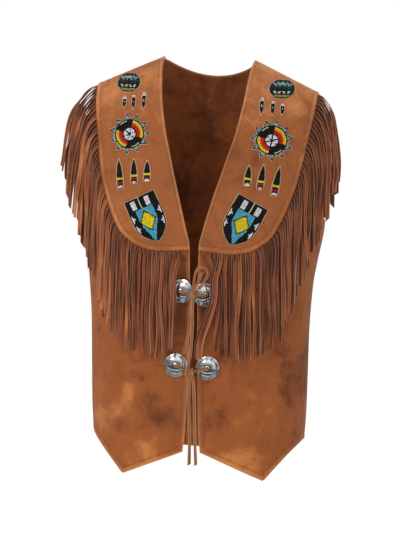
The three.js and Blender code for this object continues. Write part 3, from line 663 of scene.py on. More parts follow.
def build_yoke(side):
    off = yoke_edge_distance(YOKE_X, YOKE_Z)
    neck = YOKE_X - edge_x(YOKE_Z)
    groove = bell(off - FOLD_BAND, 1.5)
    roll = 0.5 * bell(off, 5.5, 4) - 0.3 * groove - 0.8 * bell(off, 1.1)
    inner = skin(YOKE_X, YOKE_Z, "front", YOKE_LIFT, side)
    outer = skin(YOKE_X, YOKE_Z, "front", YOKE_LIFT + YOKE_WALL + roll, side)
    points, faces = shell(inner, outer, side)
    # Painted shade in the groove inside the turned edge.
    tone = 0.38 * bell(off, FOLD_BAND, 4) - 0.24 * groove
    # A painted shadow line along the lower edge.
    tone += 0.25 * bell(neck, 5) - 1.1 * bell(off, 1.0)
    # Painted light and shade by height and side: the upper yoke lighter, one side darker.
    tone += (0.68 + 0.2 * side) * ease((YOKE_Z + 150) / 110) - 0.12 * (side > 0)
    tone -= 0.16 * (side < 0) * bell(YOKE_Z + 165, 60)
    cut = 0.3 * bell(neck, 1.5)
    return make_piece(side_name("yoke_shell", side), points, faces, YOKE_SUEDE,
                      [side_name("yoke", side)], "suede_yoke", 50,
                      tone=np.tile(tone.ravel(), 2), cut=np.tile(cut.ravel(), 2))


# ---- Fringe -----------------------------------------------------------------------------------

FRINGE = Table(side=35, foot=15, width=5.4, thick=1.0, length=168.0, near_concho=157.0,
               first_at=12.0, foot_end_x=22.0, reach=44.0, reach_span=225.0,
               reach_power=1.7, clear=1.3, layer=2.6, settle=26.0, turn_out=1.8,
               body_limit=180.0, segments=30)
FORWARD = np.array([0.0, -1.0, 0.0])
CONCHO_TOP_Z = -374.0


def edge_stations():
    y = form_y(EDGE_X, EDGE_Z, "front")
    point = np.stack([EDGE_X, y, EDGE_Z], -1)
    normal = form_normal(EDGE_X, y, EDGE_Z, "front")
    ahead, behind = np.roll(point, -3, 0), np.roll(point, 3, 0)
    ahead[-3:], behind[:3] = point[-1], point[0]
    out = unit(np.cross(ahead - behind, normal))
    if out[0, 0] < 0:
        out = -out
    return run_of(point), point, normal, out


ALONG, EDGE_POINT, EDGE_NORMAL, EDGE_OUT = edge_stations()


def station_at(along):
    point, normal, out = (points_at(along, ALONG, rows)
                          for rows in (EDGE_POINT, EDGE_NORMAL, EDGE_OUT))
    return point, unit(normal), unit(out)


def strand_plans(side):
    corner = ALONG[CORNER_ROW]
    foot = np.arange(CORNER_ROW, len(ALONG))
    end = np.interp(-FRINGE.foot_end_x, -EDGE_X[foot], ALONG[foot])
    count = FRINGE.side + FRINGE.foot
    plans = []
    for i in range(count):
        on_side = i < FRINGE.side
        along = mix(FRINGE.first_at, corner, i / (FRINGE.side - 0.5)) if on_side \
            else mix(corner, end, (i - FRINGE.side + 0.5) / (FRINGE.foot - 0.5))
        point, normal, out = station_at(along)
        high = np.clip(1 - (along - FRINGE.first_at) / FRINGE.reach_span, 0, 1)
        near_edge = not on_side and point[0] < 46
        stray = side > 0 and near_edge and i in (count - 4, count - 3)
        over_concho = side < 0 and near_edge and i > count - 3
        push_to = 29 + (point[0] - FRINGE.foot_end_x) * 0.72 if side < 0 \
            else 41 + (point[0] - FRINGE.foot_end_x) * 0.35
        plans.append(Table(
            index=i, point=point, normal=normal, out=out, stray=stray, near_edge=near_edge,
            reach=max(FRINGE.reach * high ** FRINGE.reach_power, 6 * max(0, out[0])),
            layer=4.4 if stray else (2.9 if over_concho else 2 - i % 3),
            push_to=push_to if near_edge else 0,
            length=FRINGE.near_concho if near_edge and not stray
            else FRINGE.length + 10 * float(scatter(i, side + 3)),
            sway=(0.3 if on_side else 0.9) * float(scatter(i, side + 7))))
    return plans


def near_edge_shift(plan, root_x, z):
    if plan.stray:
        return -7 * ease((-318 - z) / 40) - 25 * ease((-372 - z) / 100)
    around = ease((-311 - z) / 45) - 0.3 * ease((CONCHO_TOP_Z - 25 - z) / 70)
    return (plan.push_to - root_x) * around


def strand_path(plan):
    """Dense line of a strand: out of the yoke, over in an arch, then plumb."""
    normal = plan.normal
    start = plan.point + plan.out * STRIP_PROUD
    hanging = unit(np.array([normal[0] * FRINGE.turn_out, normal[1], 0.0]))
    turn = max(1.0, plan.reach / float(np.clip(plan.out[0], 0.05, 0.93)))
    x, y, z = start[0], abs(start[1]), start[2]
    shift, length, run, step = 0.0, 0.0, 0.0, 2.0
    lengths, points, facings = [], [], []
    while length < plan.length + 2 * step:
        settled = float(ease(run / FRINGE.settle))
        facing = unit(mix(normal, hanging, settled))
        lift = STRIP_LIFT + STRIP_WALL / 2 + settled * FRINGE.clear
        forward = settled * plan.layer * FRINGE.layer
        lengths.append(length)
        facings.append(facing)
        points.append(np.array([x, -y, z]) + facing * lift + FORWARD * forward)
        wanted = (near_edge_shift(plan, start[0], z) if plan.near_edge else 0.0) \
            + settled * plan.sway * math.sin(run / 30 + plan.sway * 9)
        arch = plan.reach * (math.exp(-run / turn) - math.exp(-(run + step) / turn))
        move = float(np.clip(arch + wanted - shift, -0.93 * step, 0.93 * step))
        shift = wanted
        x += move
        z -= math.sqrt(step * step - move * move)
        nearest = min(x, FRINGE.body_limit) - 2 * settled
        deeper = max(y, abs(float(form_y(nearest, z, "front"))))
        length += math.hypot(step, deeper - y)
        y = deeper
        run += step
    return np.array(lengths), np.array(points), np.array(facings)


PROFILE = [(-1, 0.5), (-0.4, 0.5), (0.4, 0.5), (1, 0.5), (1, -0.5), (0.4, -0.5), (-0.4, -0.5),
           (-1, -0.5)]  # across in half widths, outward in thicknesses
# Lighter cut edges, with a painted highlight: one side of each strand is brighter.
PROFILE_CUT_AND_HIGHLIGHT = np.array([0.75, 0.0, 0.0, 0.3, 0.7, 0.3, 0.3, 1.0])
PROFILE_TONE = np.array([0, 0, 0, 0, -0.5, -0.7, -0.7, -0.5])  # the inside is darker: painted shade


def strand_mesh(plan, side):
    """Rings of one strand with its waves, twist, curl and slanted tip."""
    i = plan.index
    lengths, points, facings = strand_path(plan)
    share = np.linspace(0, 1, FRINGE.segments)
    reach = share * plan.length
    centre = points_at(reach, lengths, points)
    facing = unit(points_at(reach, lengths, facings))
    tangent = unit(np.gradient(centre, axis=0))
    across = unit(np.cross(tangent, facing))
    outward = unit(np.cross(across, tangent))
    free = ease(share * 2.2)
    turned = ease((share - 0.1) / 0.3)[:, None] * min(1.0, abs(plan.normal[0]) * 1.4)
    outward = unit(mix(outward, np.array([0.25, -1.0, 0.0]), 0.8 * turned))
    across = unit(np.cross(tangent, outward))
    outward = unit(np.cross(across, tangent))
    wave = 2.2 * float(scatter(i, side + 11)) * np.sin(share * 7.5 + 3 * scatter(i, side + 12))
    clump = 2.9 * math.sin(i * 0.9 + side) + 1.6 * float(scatter(i, side + 13))
    centre = centre + across * (free * (wave + clump * share ** 1.5))[:, None]
    lift = 0.9 * (1 + np.sin(share * 6 + 5 * scatter(i, side + 14))) * free
    centre = centre + outward * lift[:, None]
    strong = 1.5 if i % 3 == 1 else 0.5
    twist = strong * float(scatter(i, side + 5)) * (share ** 1.2) \
        + 0.35 * np.sin(share * 9 + 4 * scatter(i, side + 15)) * free
    cos, sin = np.cos(twist)[:, None], np.sin(twist)[:, None]
    across, outward = across * cos + outward * sin, outward * cos - across * sin
    fuller = 1 + 0.75 * float(ease(plan.reach / 20)) * (1 - 0.6 * share)
    half = FRINGE.width / 2 * (1 + 0.13 * float(scatter(i, side + 16))) * fuller
    width = half * (1 - 0.12 * share + 0.06 * np.sin(share * 17 + i))
    bow = 0.75 * (0.5 + 0.5 * scatter(i, side + 17)) * free + 0.15
    slant = 4.5 * float(scatter(i, side + 18)) * ease((share - 0.93) / 0.07)
    return np.stack([centre + across * (a * width)[:, None]
                     + outward * (o * FRINGE.thick - bow * a * a)[:, None]
                     + tangent * (a * slant)[:, None] for a, o in PROFILE], 1)


def build_fringe(side):
    parts = []
    for plan in strand_plans(side):
        rings, i = strand_mesh(plan, side), plan.index
        segments = len(rings)
        share = np.linspace(0, 1, segments)[:, None]
        # A random tone, with painted shade on the layer nearest the body, on the wearer's left
        # fringe, and at each strand's root.
        shade = 0.7 * float(scatter(i, side + 21)) - 0.5 * (plan.layer == 0) \
            - (0.5 if side > 0 else 0.08)
        shade = shade - 0.6 * bell(share, 0.05) + 0.2 * np.sin(share * 11 + i)
        # Lighter cut edges with a painted highlight, brighter on some strands.
        cut_and_highlight = PROFILE_CUT_AND_HIGHLIGHT * (0.6 + 0.25 * float(scatter(i, side + 22)))
        parts.append((rings.reshape(-1, 3), tube_faces(segments, len(PROFILE)),
                      (shade + PROFILE_TONE).ravel(), np.tile(cut_and_highlight, segments)))
    strip, strip_faces = strip_mesh()
    parts.append((strip, strip_faces, np.full(len(strip), -0.08), np.zeros(len(strip))))
    points, faces, tone, cut = joined(parts)
    if side < 0:
        faces = [face[::-1] for face in faces]
    return make_piece(side_name("fringe_strands", side), placed(points, side), faces,
                      FRINGE_SUEDE, [side_name("fringe", side)], "suede_fringe", 45,
                      tone=tone, cut=cut)


def strip_mesh():
    """The strip that the strands are cut from, under the yoke's edge."""
    along = np.linspace(0.4, ALONG[-1] - 2, 150)
    point, normal, out = station_at(along)
    inside = point - out * STRIP_UNDER
    inside_y = form_y(inside[:, 0], inside[:, 2], "front")
    inside = np.stack([inside[:, 0], inside_y, inside[:, 2]], -1)
    inside_normal = form_normal(inside[:, 0], inside_y, inside[:, 2], "front")
    shown = STRIP_PROUD + 5.0 * ease((along - ALONG[CORNER_ROW] + 30) / 60)
    outer = point + out * shown[:, None]
    high = STRIP_LIFT + STRIP_WALL
    ring = np.stack([inside + inside_normal * STRIP_LIFT, inside + inside_normal * high,
                     outer + normal * high, outer + normal * STRIP_LIFT], 1)
    rows = len(along)
    k = np.arange(rows - 1)[:, None] * 4
    c = np.arange(4)[None, :]
    d = (np.arange(4) + 1)[None, :] % 4
    faces = np.stack([k + c, k + 4 + c, k + 4 + d, k + d], -1).reshape(-1, 4)
    caps = np.array([[3, 2, 1, 0], [4 * rows - 4, 4 * rows - 3, 4 * rows - 2, 4 * rows - 1]])
    return ring.reshape(-1, 3), np.concatenate([faces, caps])


# ---- Sewing -----------------------------------------------------------------------------------

STITCH = Table(length=2.9, pitch=4.1, half=0.42, yoke_lift=5.1, panel_lift=1.95)
SEAM_TAPE = Table(half=7.0, inside=0.7, wall=0.9)  # allowance behind each side seam


def thread_material():
    """Waxed brown thread, with fine light and dark strands."""
    tree = Tree(bpy.data.materials.new("thread"))
    colour = tree.ramp(tree.noise(1400.0), [(0.3, srgb(84, 44, 24)), (0.7, srgb(132, 78, 42))])
    return tree.surface({"Base Color": colour, "Roughness": 0.6})


def sew(name, x, z, face, lift, side, material, slot):
    """A row of stitches along a line of plane points."""
    rolled = curl(x, z) if face == "front" and lift < STRIP_LIFT else 0.0
    line = placed(skin(x, z, face, lift, side, rolled), side)
    normal = placed(skin(x, z, face, lift + 1, side, rolled), side) - line
    run = run_of(line)
    middle = np.arange(STITCH.pitch, run[-1] - STITCH.pitch, STITCH.pitch)
    centre, up = points_at(middle, run, line), unit(points_at(middle, run, normal))
    along = unit(points_at(middle + 0.5, run, line) - points_at(middle - 0.5, run, line))
    across = np.cross(up, along)
    half, reach = STITCH.half, STITCH.length / 2
    shape = [(-reach, 0, -0.5)] + [(end * reach * 0.7, a * half, o * half) for end in (-1, 1)
                                   for a, o in ((1, 0), (0, 1), (-1, 0), (0, -1))]
    shape.append((reach, 0, -0.5))
    points = np.stack([centre + along * u + across * v + up * w for u, v, w in shape], 1)
    faces = []
    for k in range(4):
        n = (k + 1) % 4
        faces += [(0, 1 + n, 1 + k), (1 + k, 1 + n, 5 + n), (1 + k, 5 + n, 5 + k),
                  (9, 5 + k, 5 + n)]
    faces = np.array(faces)[None] + np.arange(len(middle))[:, None, None] * len(shape)
    return make_piece(name, points, faces.reshape(-1, 3), material, (), slot)


def sew_front(side, thread):
    rows = np.linspace(-322, HEM.corner[1] + FOLD_BAND, 240)
    point_x, side_x = HEM.point[0], HEM.side[0] - 3
    hem_x = np.linspace(HEM.corner[0] + FOLD_BAND, side_x, 260)
    turned_up = FOLD_BAND / np.where(hem_x < point_x, 0.92, 0.65)
    lift, slot = STITCH.panel_lift, "suede_body"
    return [sew(side_name("stitches_edge", side), edge_x(rows) + FOLD_BAND, rows, "front", lift,
                side, thread, slot),
            sew(side_name("stitches_hem", side), hem_x, front_hem(hem_x) + turned_up, "front",
                lift, side, thread, slot)]


def sew_yoke(side, thread):
    point, _, out = station_at(np.linspace(9, ALONG[-1] - 2, 400))
    inside = point - out * FOLD_BAND
    neck_z = np.linspace(-6, YOKE_FOOT[0][1] + FOLD_BAND, 300)
    lift, slot = STITCH.yoke_lift, "suede_yoke"
    return [sew(side_name("stitches_yoke", side), inside[:, 0], inside[:, 2], "front", lift,
                side, thread, slot),
            sew(side_name("stitches_neck", side), edge_x(neck_z) + 5, neck_z, "front", lift + 0.3,
                side, thread, slot)]


def sew_back(thread):
    x = np.linspace(-HEM.side[0] + 4, HEM.side[0] - 4, 400)
    return [sew("stitches_back_hem", x, back_hem(x) + FOLD_BAND, "back", STITCH.panel_lift,
                1, thread, "suede_body")]


def build_seam_tape(side):
    """The flattened allowance inside a side seam, from the hem to the armhole, with a darker tone
    that is painted shade.
    """
    z = np.linspace(HEM.side[1] + 1, UNDERARM - 1, 90)[:, None]
    y = np.linspace(-SEAM_TAPE.half, SEAM_TAPE.half, 7)[None, :]
    bulge = 1 - (np.abs(y) / DEPTH["front"](z)) ** SQUARENESS
    x = half_width(z) * bulge ** (1 / SQUARENESS) - SEAM_TAPE.inside
    outer = np.stack([x, y + 0 * x, z + 0 * x], -1)
    inner = outer - np.array([SEAM_TAPE.wall, 0, 0])
    points, faces = shell(inner, outer, side)
    flat = np.full(len(points), -0.3)
    return make_piece(side_name("seam_tape", side), points, faces, BODY_SUEDE, (),
                      "suede_body", 50, tone=flat, cut=0 * flat)


# ---- Laces and conchos ------------------------------------------------------------------------

CONCHO_RADIUS, CONCHO_HEIGHT, CONCHO_GAP, CONCHO_SIDES = 19.0, 7.0, 0.4, 72
CONCHOS = {  # x, z, turn in degrees
    "concho_upper_right": (-19, -374, -18), "concho_upper_left": (18, -378, 26),
    "concho_lower_right": (-27, -492, 0), "concho_lower_left": (24, -494, 0)}
CONCHO_PROFILE = [  # share of the radius, share of the height
    (0, 1.0), (0.1, 0.99), (0.17, 0.95), (0.2, 0.88), (0.24, 0.855), (0.33, 0.815), (0.45, 0.745),
    (0.58, 0.64), (0.67, 0.53), (0.715, 0.455), (0.735, 0.4), (0.76, 0.415), (0.78, 0.43),
    (0.8, 0.405), (0.82, 0.345), (0.85, 0.315), (0.875, 0.325), (0.895, 0.31), (0.915, 0.25),
    (0.945, 0.225), (0.975, 0.2), (0.995, 0.15), (1.0, 0.09), (0.99, 0.03), (0.97, 0.0), (0, 0)]
CONCHO_GROOVES = (0.2, 0.24, 0.735, 0.85)  # shares of the radius that are tarnished
KNOTS = {  # centre, radii
    "upper": ((0.5, -137.0, -378.0), (5.5, 4.0, 5.0)),
    "lower": ((-1.0, -125.5, -501.0), (6.0, 4.0, 5.5))}
BOW_LOOP = [
    (0.5, -137, -378), (3, -137, -362), (5.5, -135, -345), (10, -133, -335), (17, -132.5, -336),
    (21, -133, -344), (17, -134.5, -357), (8, -136.5, -370), (0.5, -137, -378)]
BOW_END = [(0.5, -137, -378), (6, -140.5, -366), (11, -140.5, -354), (15, -139, -343)]
TAILS = {  # the same routes as the model's, from just under the knot
    "lace_upper_tail_right": [
        (0.8, -139.3, -383.35), (0.7, -138.6, -396), (0.5, -136.6, -420), (0, -135, -447),
        (-2, -134, -470), (-4.5, -133.5, -487), (-8, -133, -505)],
    "lace_upper_tail_left": [
        (-0.6, -134.8, -383.35), (-1.6, -132.8, -396), (-3.2, -130, -414), (-5.5, -128, -439),
        (-9, -127, -455), (-13, -126.5, -472)],
    "lace_lower_tail_right": [
        (-3.3, -125.5, -506.85), (-4, -124.4, -520), (-4.6, -123, -540), (-3.4, -122, -575),
        (-2.6, -121.5, -611), (-2.8, -121.5, -648)],
    "lace_lower_tail_left": [
        (1.3, -125.5, -506.85), (2.6, -124.4, -520), (3.8, -123, -540), (4.8, -122, -575),
        (6, -121.5, -611), (8, -121.5, -648)]}
TAIL_WIDTH, LACE_THICK = 5.0, 1.5
TAIL_TWISTS = {"lace_upper_tail_right": 0.5, "lace_upper_tail_left": -0.6,
               "lace_lower_tail_right": 0.35, "lace_lower_tail_left": -0.4}


def leaned(points):
    points = np.asarray(points, float)
    return points + np.stack([lean(points[:, 2]), 0 * points[:, 2], 0 * points[:, 2]], 1)


def route(points, per_span=8):
    """Centripetal Catmull-Rom curve through points, with free ends."""
    p = np.asarray(points, float)
    p = np.concatenate([[2 * p[0] - p[1]], p, [2 * p[-1] - p[-2]]])
    found = []
    for k in range(1, len(p) - 2):
        gaps = [max(np.linalg.norm(p[j + 1] - p[j]), 1e-4) ** 0.5 for j in (k - 1, k, k + 1)]
        d0, d1, d2 = gaps
        t1 = ((p[k] - p[k - 1]) / d0 - (p[k + 1] - p[k - 1]) / (d0 + d1)
              + (p[k + 1] - p[k]) / d1) * d1
        t2 = ((p[k + 1] - p[k]) / d1 - (p[k + 2] - p[k]) / (d1 + d2)
              + (p[k + 2] - p[k + 1]) / d2) * d1
        t = np.arange(per_span)[:, None] / per_span
        found.append(p[k] + t1 * t + (3 * (p[k + 1] - p[k]) - 2 * t1 - t2) * t ** 2
                     + (2 * (p[k] - p[k + 1]) + t1 + t2) * t ** 3)
    return np.concatenate([*found, p[-2:-1]])


RIBBON = [(-1, 0.3), (-0.72, 0.5), (0, 0.56), (0.72, 0.5), (1, 0.3),
          (1, -0.3), (0.72, -0.5), (0, -0.5), (-0.72, -0.5), (-1, -0.3)]
RIBBON_CUT = [0.7, 0.25, 0, 0.25, 0.7, 0.6, 0.2, 0.2, 0.2, 0.6]


def ribbon(line, width, thick, facing=(0, -1, 0), twist=0.0, ends=(1.0, 1.0), slant=0.0):
    """A flat lace along a line: points, faces, tone and cut."""
    line = np.asarray(line, float)
    share = np.linspace(0, 1, len(line))
    tangent = unit(np.gradient(line, axis=0))
    facing = np.broadcast_to(np.asarray(facing, float), line.shape)
    across = unit(np.cross(tangent, facing))
    outward = np.cross(across, tangent)
    angle = (twist * share)[:, None]
    across, outward = (across * np.cos(angle) + outward * np.sin(angle),
                       outward * np.cos(angle) - across * np.sin(angle))
    size = (width / 2 * mix(ends[0], ends[1], share) * (1 + 0.08 * np.sin(share * 21)))
    tip = slant * ease((share - 0.9) / 0.1)
    rings = np.stack([line + across * (a * size)[:, None] + outward * (o * thick)
                      + tangent * (a * tip)[:, None] for a, o in RIBBON], 1)
    n, m = rings.shape[:2]
    cut = np.tile(RIBBON_CUT, n)
    tone = np.repeat(0.3 * np.sin(share * 13 + width), m)
    return rings.reshape(-1, 3), tube_faces(n, m), tone, cut


def build_tails():
    for name, points in TAILS.items():
        line = route(leaned(points), 7)
        shape, faces, tone, cut = ribbon(line, TAIL_WIDTH, LACE_THICK, twist=TAIL_TWISTS[name],
                                         ends=(0.9, 1.04), slant=1.6)
        tail = make_piece(name.replace("lace", "ribbon"), shape, faces, LACE_SUEDE, [name],
                          "suede_lace", 50, tone=tone, cut=cut)


def concho_seat(x, z, turn):
    angle = math.radians(turn)
    axis = np.array([math.sin(angle), -math.cos(angle), 0.0])
    rim_x = x + math.copysign(CONCHO_RADIUS * math.cos(angle), x)
    rise = WALL + CONCHO_GAP + CONCHO_RADIUS * abs(math.sin(angle))
    rim_y = float(form_y(max(abs(rim_x), abs(x)), z, "front")) - rise
    middle_y = float(form_y(abs(x) - CONCHO_RADIUS, z, "front")) - WALL - CONCHO_GAP
    return np.array([x + float(lean(z)), min(rim_y, middle_y), z]), axis


def build_concho(name, metal):
    centre, axis = concho_seat(*CONCHOS[name])
    u = unit(np.cross(axis, [0, 0, 1.0]))
    v = np.cross(u, axis)
    around = np.linspace(0, 2 * np.pi, CONCHO_SIDES, endpoint=False)[:, None]
    points = [centre + (np.cos(around) * u + np.sin(around) * v) * out * CONCHO_RADIUS
              + axis * high * CONCHO_HEIGHT for out, high in CONCHO_PROFILE]
    groove = [float(out in CONCHO_GROOVES) for out, _ in CONCHO_PROFILE]
    faces = tube_faces(len(CONCHO_PROFILE), CONCHO_SIDES, capped=False)
    return make_piece(name.replace("concho", "silver"), np.concatenate(points), faces, metal,
                      [name], "concho_metal", 40, groove=np.repeat(groove, CONCHO_SIDES))


def concho_metal():
    """Nickel silver: bright, with fine wear and dark tarnish in its grooves."""
    tree = Tree(bpy.data.materials.new("concho_silver"))
    wear = tree.noise(170.0, 4.0)
    amount = tree.calc("MULTIPLY_ADD", wear, 0.5, tree.attribute("groove"))
    colour = tree.ramp(amount, [(0.2, (0.78, 0.78, 0.79)), (1.0, (0.10, 0.09, 0.08))])
    return tree.surface({"Metallic": 1.0, "Base Color": colour,
                         "Roughness": tree.spread(amount, 0.1, 0.45, 0.25, 1.1),
                         "Normal": tree.bump(wear, 0.25)})


def arm_line(concho, knot):
    """A lace from the concho's middle over its face to the knot."""
    centre, axis = concho_seat(*CONCHOS[concho])
    x, z = CONCHOS[concho][:2]
    flat = np.array([knot[0] - x, 0, knot[2] - z])
    towards = unit(flat - axis * flat.dot(axis))
    line = [centre + towards * (out * CONCHO_RADIUS) + axis * (high * CONCHO_HEIGHT + 1.1)
            for out, high in ((-0.02, 0.8), (0.08, 1.0), (0.25, 0.95), (0.62, 0.66), (0.98, 0.28))]
    end = np.array(knot) + [float(lean(knot[2])), 0, 0]
    return route([*line, end], 6), axis


def ball(centre, radii, seed):
    """The lumpy core of a knot."""
    u, v = np.meshgrid(np.linspace(0, 2 * np.pi, 21)[:-1], np.linspace(0.05, np.pi - 0.05, 11))
    lump = 1 + 0.07 * np.sin(3 * u + seed) * np.sin(2 * v) + 0.05 * np.sin(5 * v + u)
    points = np.stack([radii[0] * np.cos(u) * np.sin(v) * lump,
                       radii[1] * np.sin(u) * np.sin(v) * lump, radii[2] * np.cos(v) * lump], -1)
    rows, columns = u.shape
    faces = [face[::-1] for face in tube_faces(rows, columns)]
    count = rows * columns
    return points.reshape(-1, 3) + centre, faces, np.full(count, -0.25), np.full(count, 0.1)


def wrap(centre, radii, tilt, width):
    """One turn of lace round a knot."""
    turn = np.linspace(0, 2 * np.pi, 33)
    cos, sin = math.cos(tilt), math.sin(tilt)
    across, up = np.cos(turn) * radii[0] * 0.98, np.sin(turn) * radii[1] * 1.16
    ring = np.stack([-across * sin * 0.35, up, across * cos], 1)
    return ribbon(ring + centre, width, 1.1, facing=unit(ring))


def build_tie(level, rows, extras):
    centre, radii = KNOTS[level]
    parts = []
    for row in rows:
        line, axis = arm_line(row, centre)
        parts.append(ribbon(line, 4.8, 1.4, facing=axis, ends=(1.0, 0.8)))
    middle = np.array(centre) + [float(lean(centre[2])), 0, 0]
    parts.append(ball(middle, np.array(radii), len(level)))
    parts.append(wrap(middle + [0.4, -0.3, 0], np.array(radii) * 1.12, 0.35, 4.6))
    parts.append(wrap(middle + [-2.4, 0.3, 0.8], np.array(radii) * 1.08, -0.5, 3.8))
    parts += extras
    points, faces, tone, cut = joined(parts)
    return make_piece(f"tie_{level}", points, faces, LACE_SUEDE, [f"lace_{level}"],
                      "suede_lace", 50, tone=tone, cut=cut)


def build_ties():
    opened = leaned(BOW_LOOP)
    opened[:, 0] += np.interp(opened[:, 2], (-370, -345), (0, 1)) * (opened[:, 0] - 12.5) * 0.3
    loop = ribbon(route(opened, 8), 3.6, 1.3, facing=(0.25, -1, 0.2), twist=0.4)
    end = ribbon(route(leaned(BOW_END), 8), 4.0, 1.4, ends=(0.7, 1.0), slant=1.5)
    build_tie("upper", ["concho_upper_right", "concho_upper_left"], [loop, end])
    build_tie("lower", ["concho_lower_right", "concho_lower_left"], [])


# ---- Beadwork ---------------------------------------------------------------------------------

BEAD = Table(row=1.75, pitch=1.95, lift=6.5)  # spacing of rows and of beads, middle height
BEAD_HALVES = (1.0, 0.92, 0.78)  # half sizes along the row, across it and outward
UNDERLAY = (5.25, 6.15)  # lifts of the felt's two faces
MARGIN = 1.1             # felt that shows round the beads
PATCH_STEP = 0.8         # spacing of the rows of a patch's felt
BEAD_COLOURS = {
    "black": (15, 14, 20), "white": (250, 246, 250), "pale": (232, 220, 150),
    "yellow": (255, 228, 30), "orange": (232, 150, 34), "red": (226, 34, 20),
    "maroon": (112, 26, 42), "ice": (158, 190, 204), "sky": (92, 190, 218),
    "teal": (26, 74, 78), "aqua": (176, 226, 220), "olive": (58, 62, 18),
    "lime": (168, 170, 74)}
SHADES = {name: k for k, name in enumerate(BEAD_COLOURS)}
ROSETTE = Table(centre=(112.0, -129.0), rays=11, turn=11.7, disc=23.0, tip=34.6,
                ray_half=6.4, bare_tip=3.6)
EMBLEM = ((121.0, -32.0), (121.0, -63.0))
SHIELD = ((90.2, -227.0), (55.5, -296.0))
DROPS = [(93, -62, -91), (110, -67, -90), (125, -69.5, -89)]  # x, top, bottom
CLAWS = [(80.5, -170, 78.5, -204), (102.5, -168, 98.5, -209), (127, -169, 120, -218)]
DROP_SECTIONS = [(0, 2.2), (0.25, 4.2), (0.7, 3.6), (1, 0.8)]  # share of the length, half width
CLAW_SECTIONS = [(0, 0.9), (0.25, 4.4), (0.6, 6.4), (0.88, 6.2), (1, 4.4)]
SHIELD_SECTIONS = [(0, 26.3), (0.13, 26.7), (0.26, 27), (0.39, 27), (0.52, 27), (0.66, 26),
                   (0.8, 20.5), (0.91, 12.5), (1, 2)]
EMBLEM_SECTIONS = [(0, 9), (0.14, 14.2), (0.3, 18.8), (0.5, 21), (0.72, 18.5), (1, 9)]


def pick(default, *rules):
    """Colour of each bead: the last rule that holds for it wins."""
    shade = np.full(rules[0][0].shape, SHADES[default])
    for where, name in rules:
        shade = np.where(where, SHADES[name], shade)
    return shade


def paint_claw(t, v, half):
    return pick("black", ((t > 0.62) & (t < 0.7), "yellow"), ((t > 0.76) & (t < 0.86), "red"),
                ((t > 0.79) & (t < 0.86), "maroon"), ((t > 0.895) & (t < 0.965), "white"),
                (half - np.abs(v) < 0.9, "black"))


def paint_drop(t, v, half):
    return pick("black", ((t > 0.05) & (t < 0.2) & (np.abs(v) < 2), "white"),
                ((t > 0.42) & (t < 0.53) & (np.abs(v) < 1.6), "pale"), (t > 0.84, "maroon"))


def paint_shield(t, v, half):
    """Bars over a blue field with a yellow diamond, and stepped white teeth at the sides."""
    a = t * 77.2
    field_half = np.where(a < 44, 14.6, 14.6 * (76 - a) / 32)
    field = (a > 20.5) & (np.abs(v - 0.12 * np.maximum(a - 44, 0)) < field_half)
    diamond = np.abs(v - 1.6) / 11.5 + np.abs(a - 41) / 15
    to_side = half - np.abs(v)
    tooth = 2.2 + 4.6 * np.maximum(0, 1 - np.abs(np.where(a < 41, a - 31.5, a - 49)) / 6.4)
    near = (np.abs(a - 31.5) < 6.4) | (np.abs(a - 49) < 6.4)
    return pick("black", (near & (to_side < tooth) & (to_side > 2.1), "white"),
                ((a > 3.4) & (a < 19) & (np.abs(np.abs(v - 2.2) - 11.6) < 3.3), "white"),
                ((a > 1.2) & (a < 20.5) & (np.abs(v - 2.2) < 1.1), "pale"), (field, "sky"),
                (field & (diamond < 1.2), "olive"), (field & (diamond < 1.0), "yellow"))


def paint_emblem(t, v, half):
    """A plain design of the builder's own: two stepped zigzags and a row of squares."""
    zig = np.abs(((v / 7.0 + 0.5) % 1) - 0.5) * 2
    return pick("black", (np.abs(t - 0.18 - 0.14 * zig) < 0.075, "aqua"),
                (np.abs(t - 0.35 - 0.14 * zig) < 0.06, "teal"),
                ((np.abs(t - 0.66) < 0.065) & (np.abs(((v / 7.0) % 1) - 0.5) < 0.27), "white"),
                (np.abs(t - 0.87) < 0.06, "lime"), (half - np.abs(v) < 1.6, "black"))


def paint_rosette(r, angle, side):
    """Spoked white middle, two red and yellow quarters, and blue rays, edged in black."""
    world = np.degrees(np.where(side > 0, angle, np.pi - angle)) % 360
    quarter = ((world > 344) | (world < 78)) | ((world > 164) & (world < 258))
    spoke = np.abs(((world - 20) / 60 + 0.5) % 1 - 0.5) * math.radians(60) * r
    step = 360 / ROSETTE.rays
    off = np.abs(((np.degrees(angle) - ROSETTE.turn) / step + 0.5) % 1 - 0.5) * step
    across = np.radians(off) * r
    ray_half = ROSETTE.ray_half * (ROSETTE.tip - ROSETTE.bare_tip - r) / (
        ROSETTE.tip - ROSETTE.disc - ROSETTE.bare_tip)
    return pick("black", ((r < 9.6) & (spoke > 0.75) & (r > 2.6), "white"),
                (quarter & (r > 11) & (r < 16.5), "red"),
                (quarter & (r > 16.5) & (r < 18.5), "orange"),
                (quarter & (r > 18.5) & (r < 22), "yellow"),
                (~quarter & (r > 19.6) & (r < 22) & (np.abs((world % 180) - 121) < 17), "pale"),
                ((r > 24.2) & (across < ray_half - 1.2), "ice"))


def band_grid(start, end, sections, rows, columns):
    """Plane points of a patch along a line."""
    (x0, z0), (length, ux, uz) = start, heading(start, end)
    t = np.linspace(0, 1, rows)[:, None]
    off = np.interp(t, *zip(*sections)) * np.linspace(-1, 1, columns)[None, :]
    return x0 + ux * t * length - uz * off, z0 + uz * t * length + ux * off


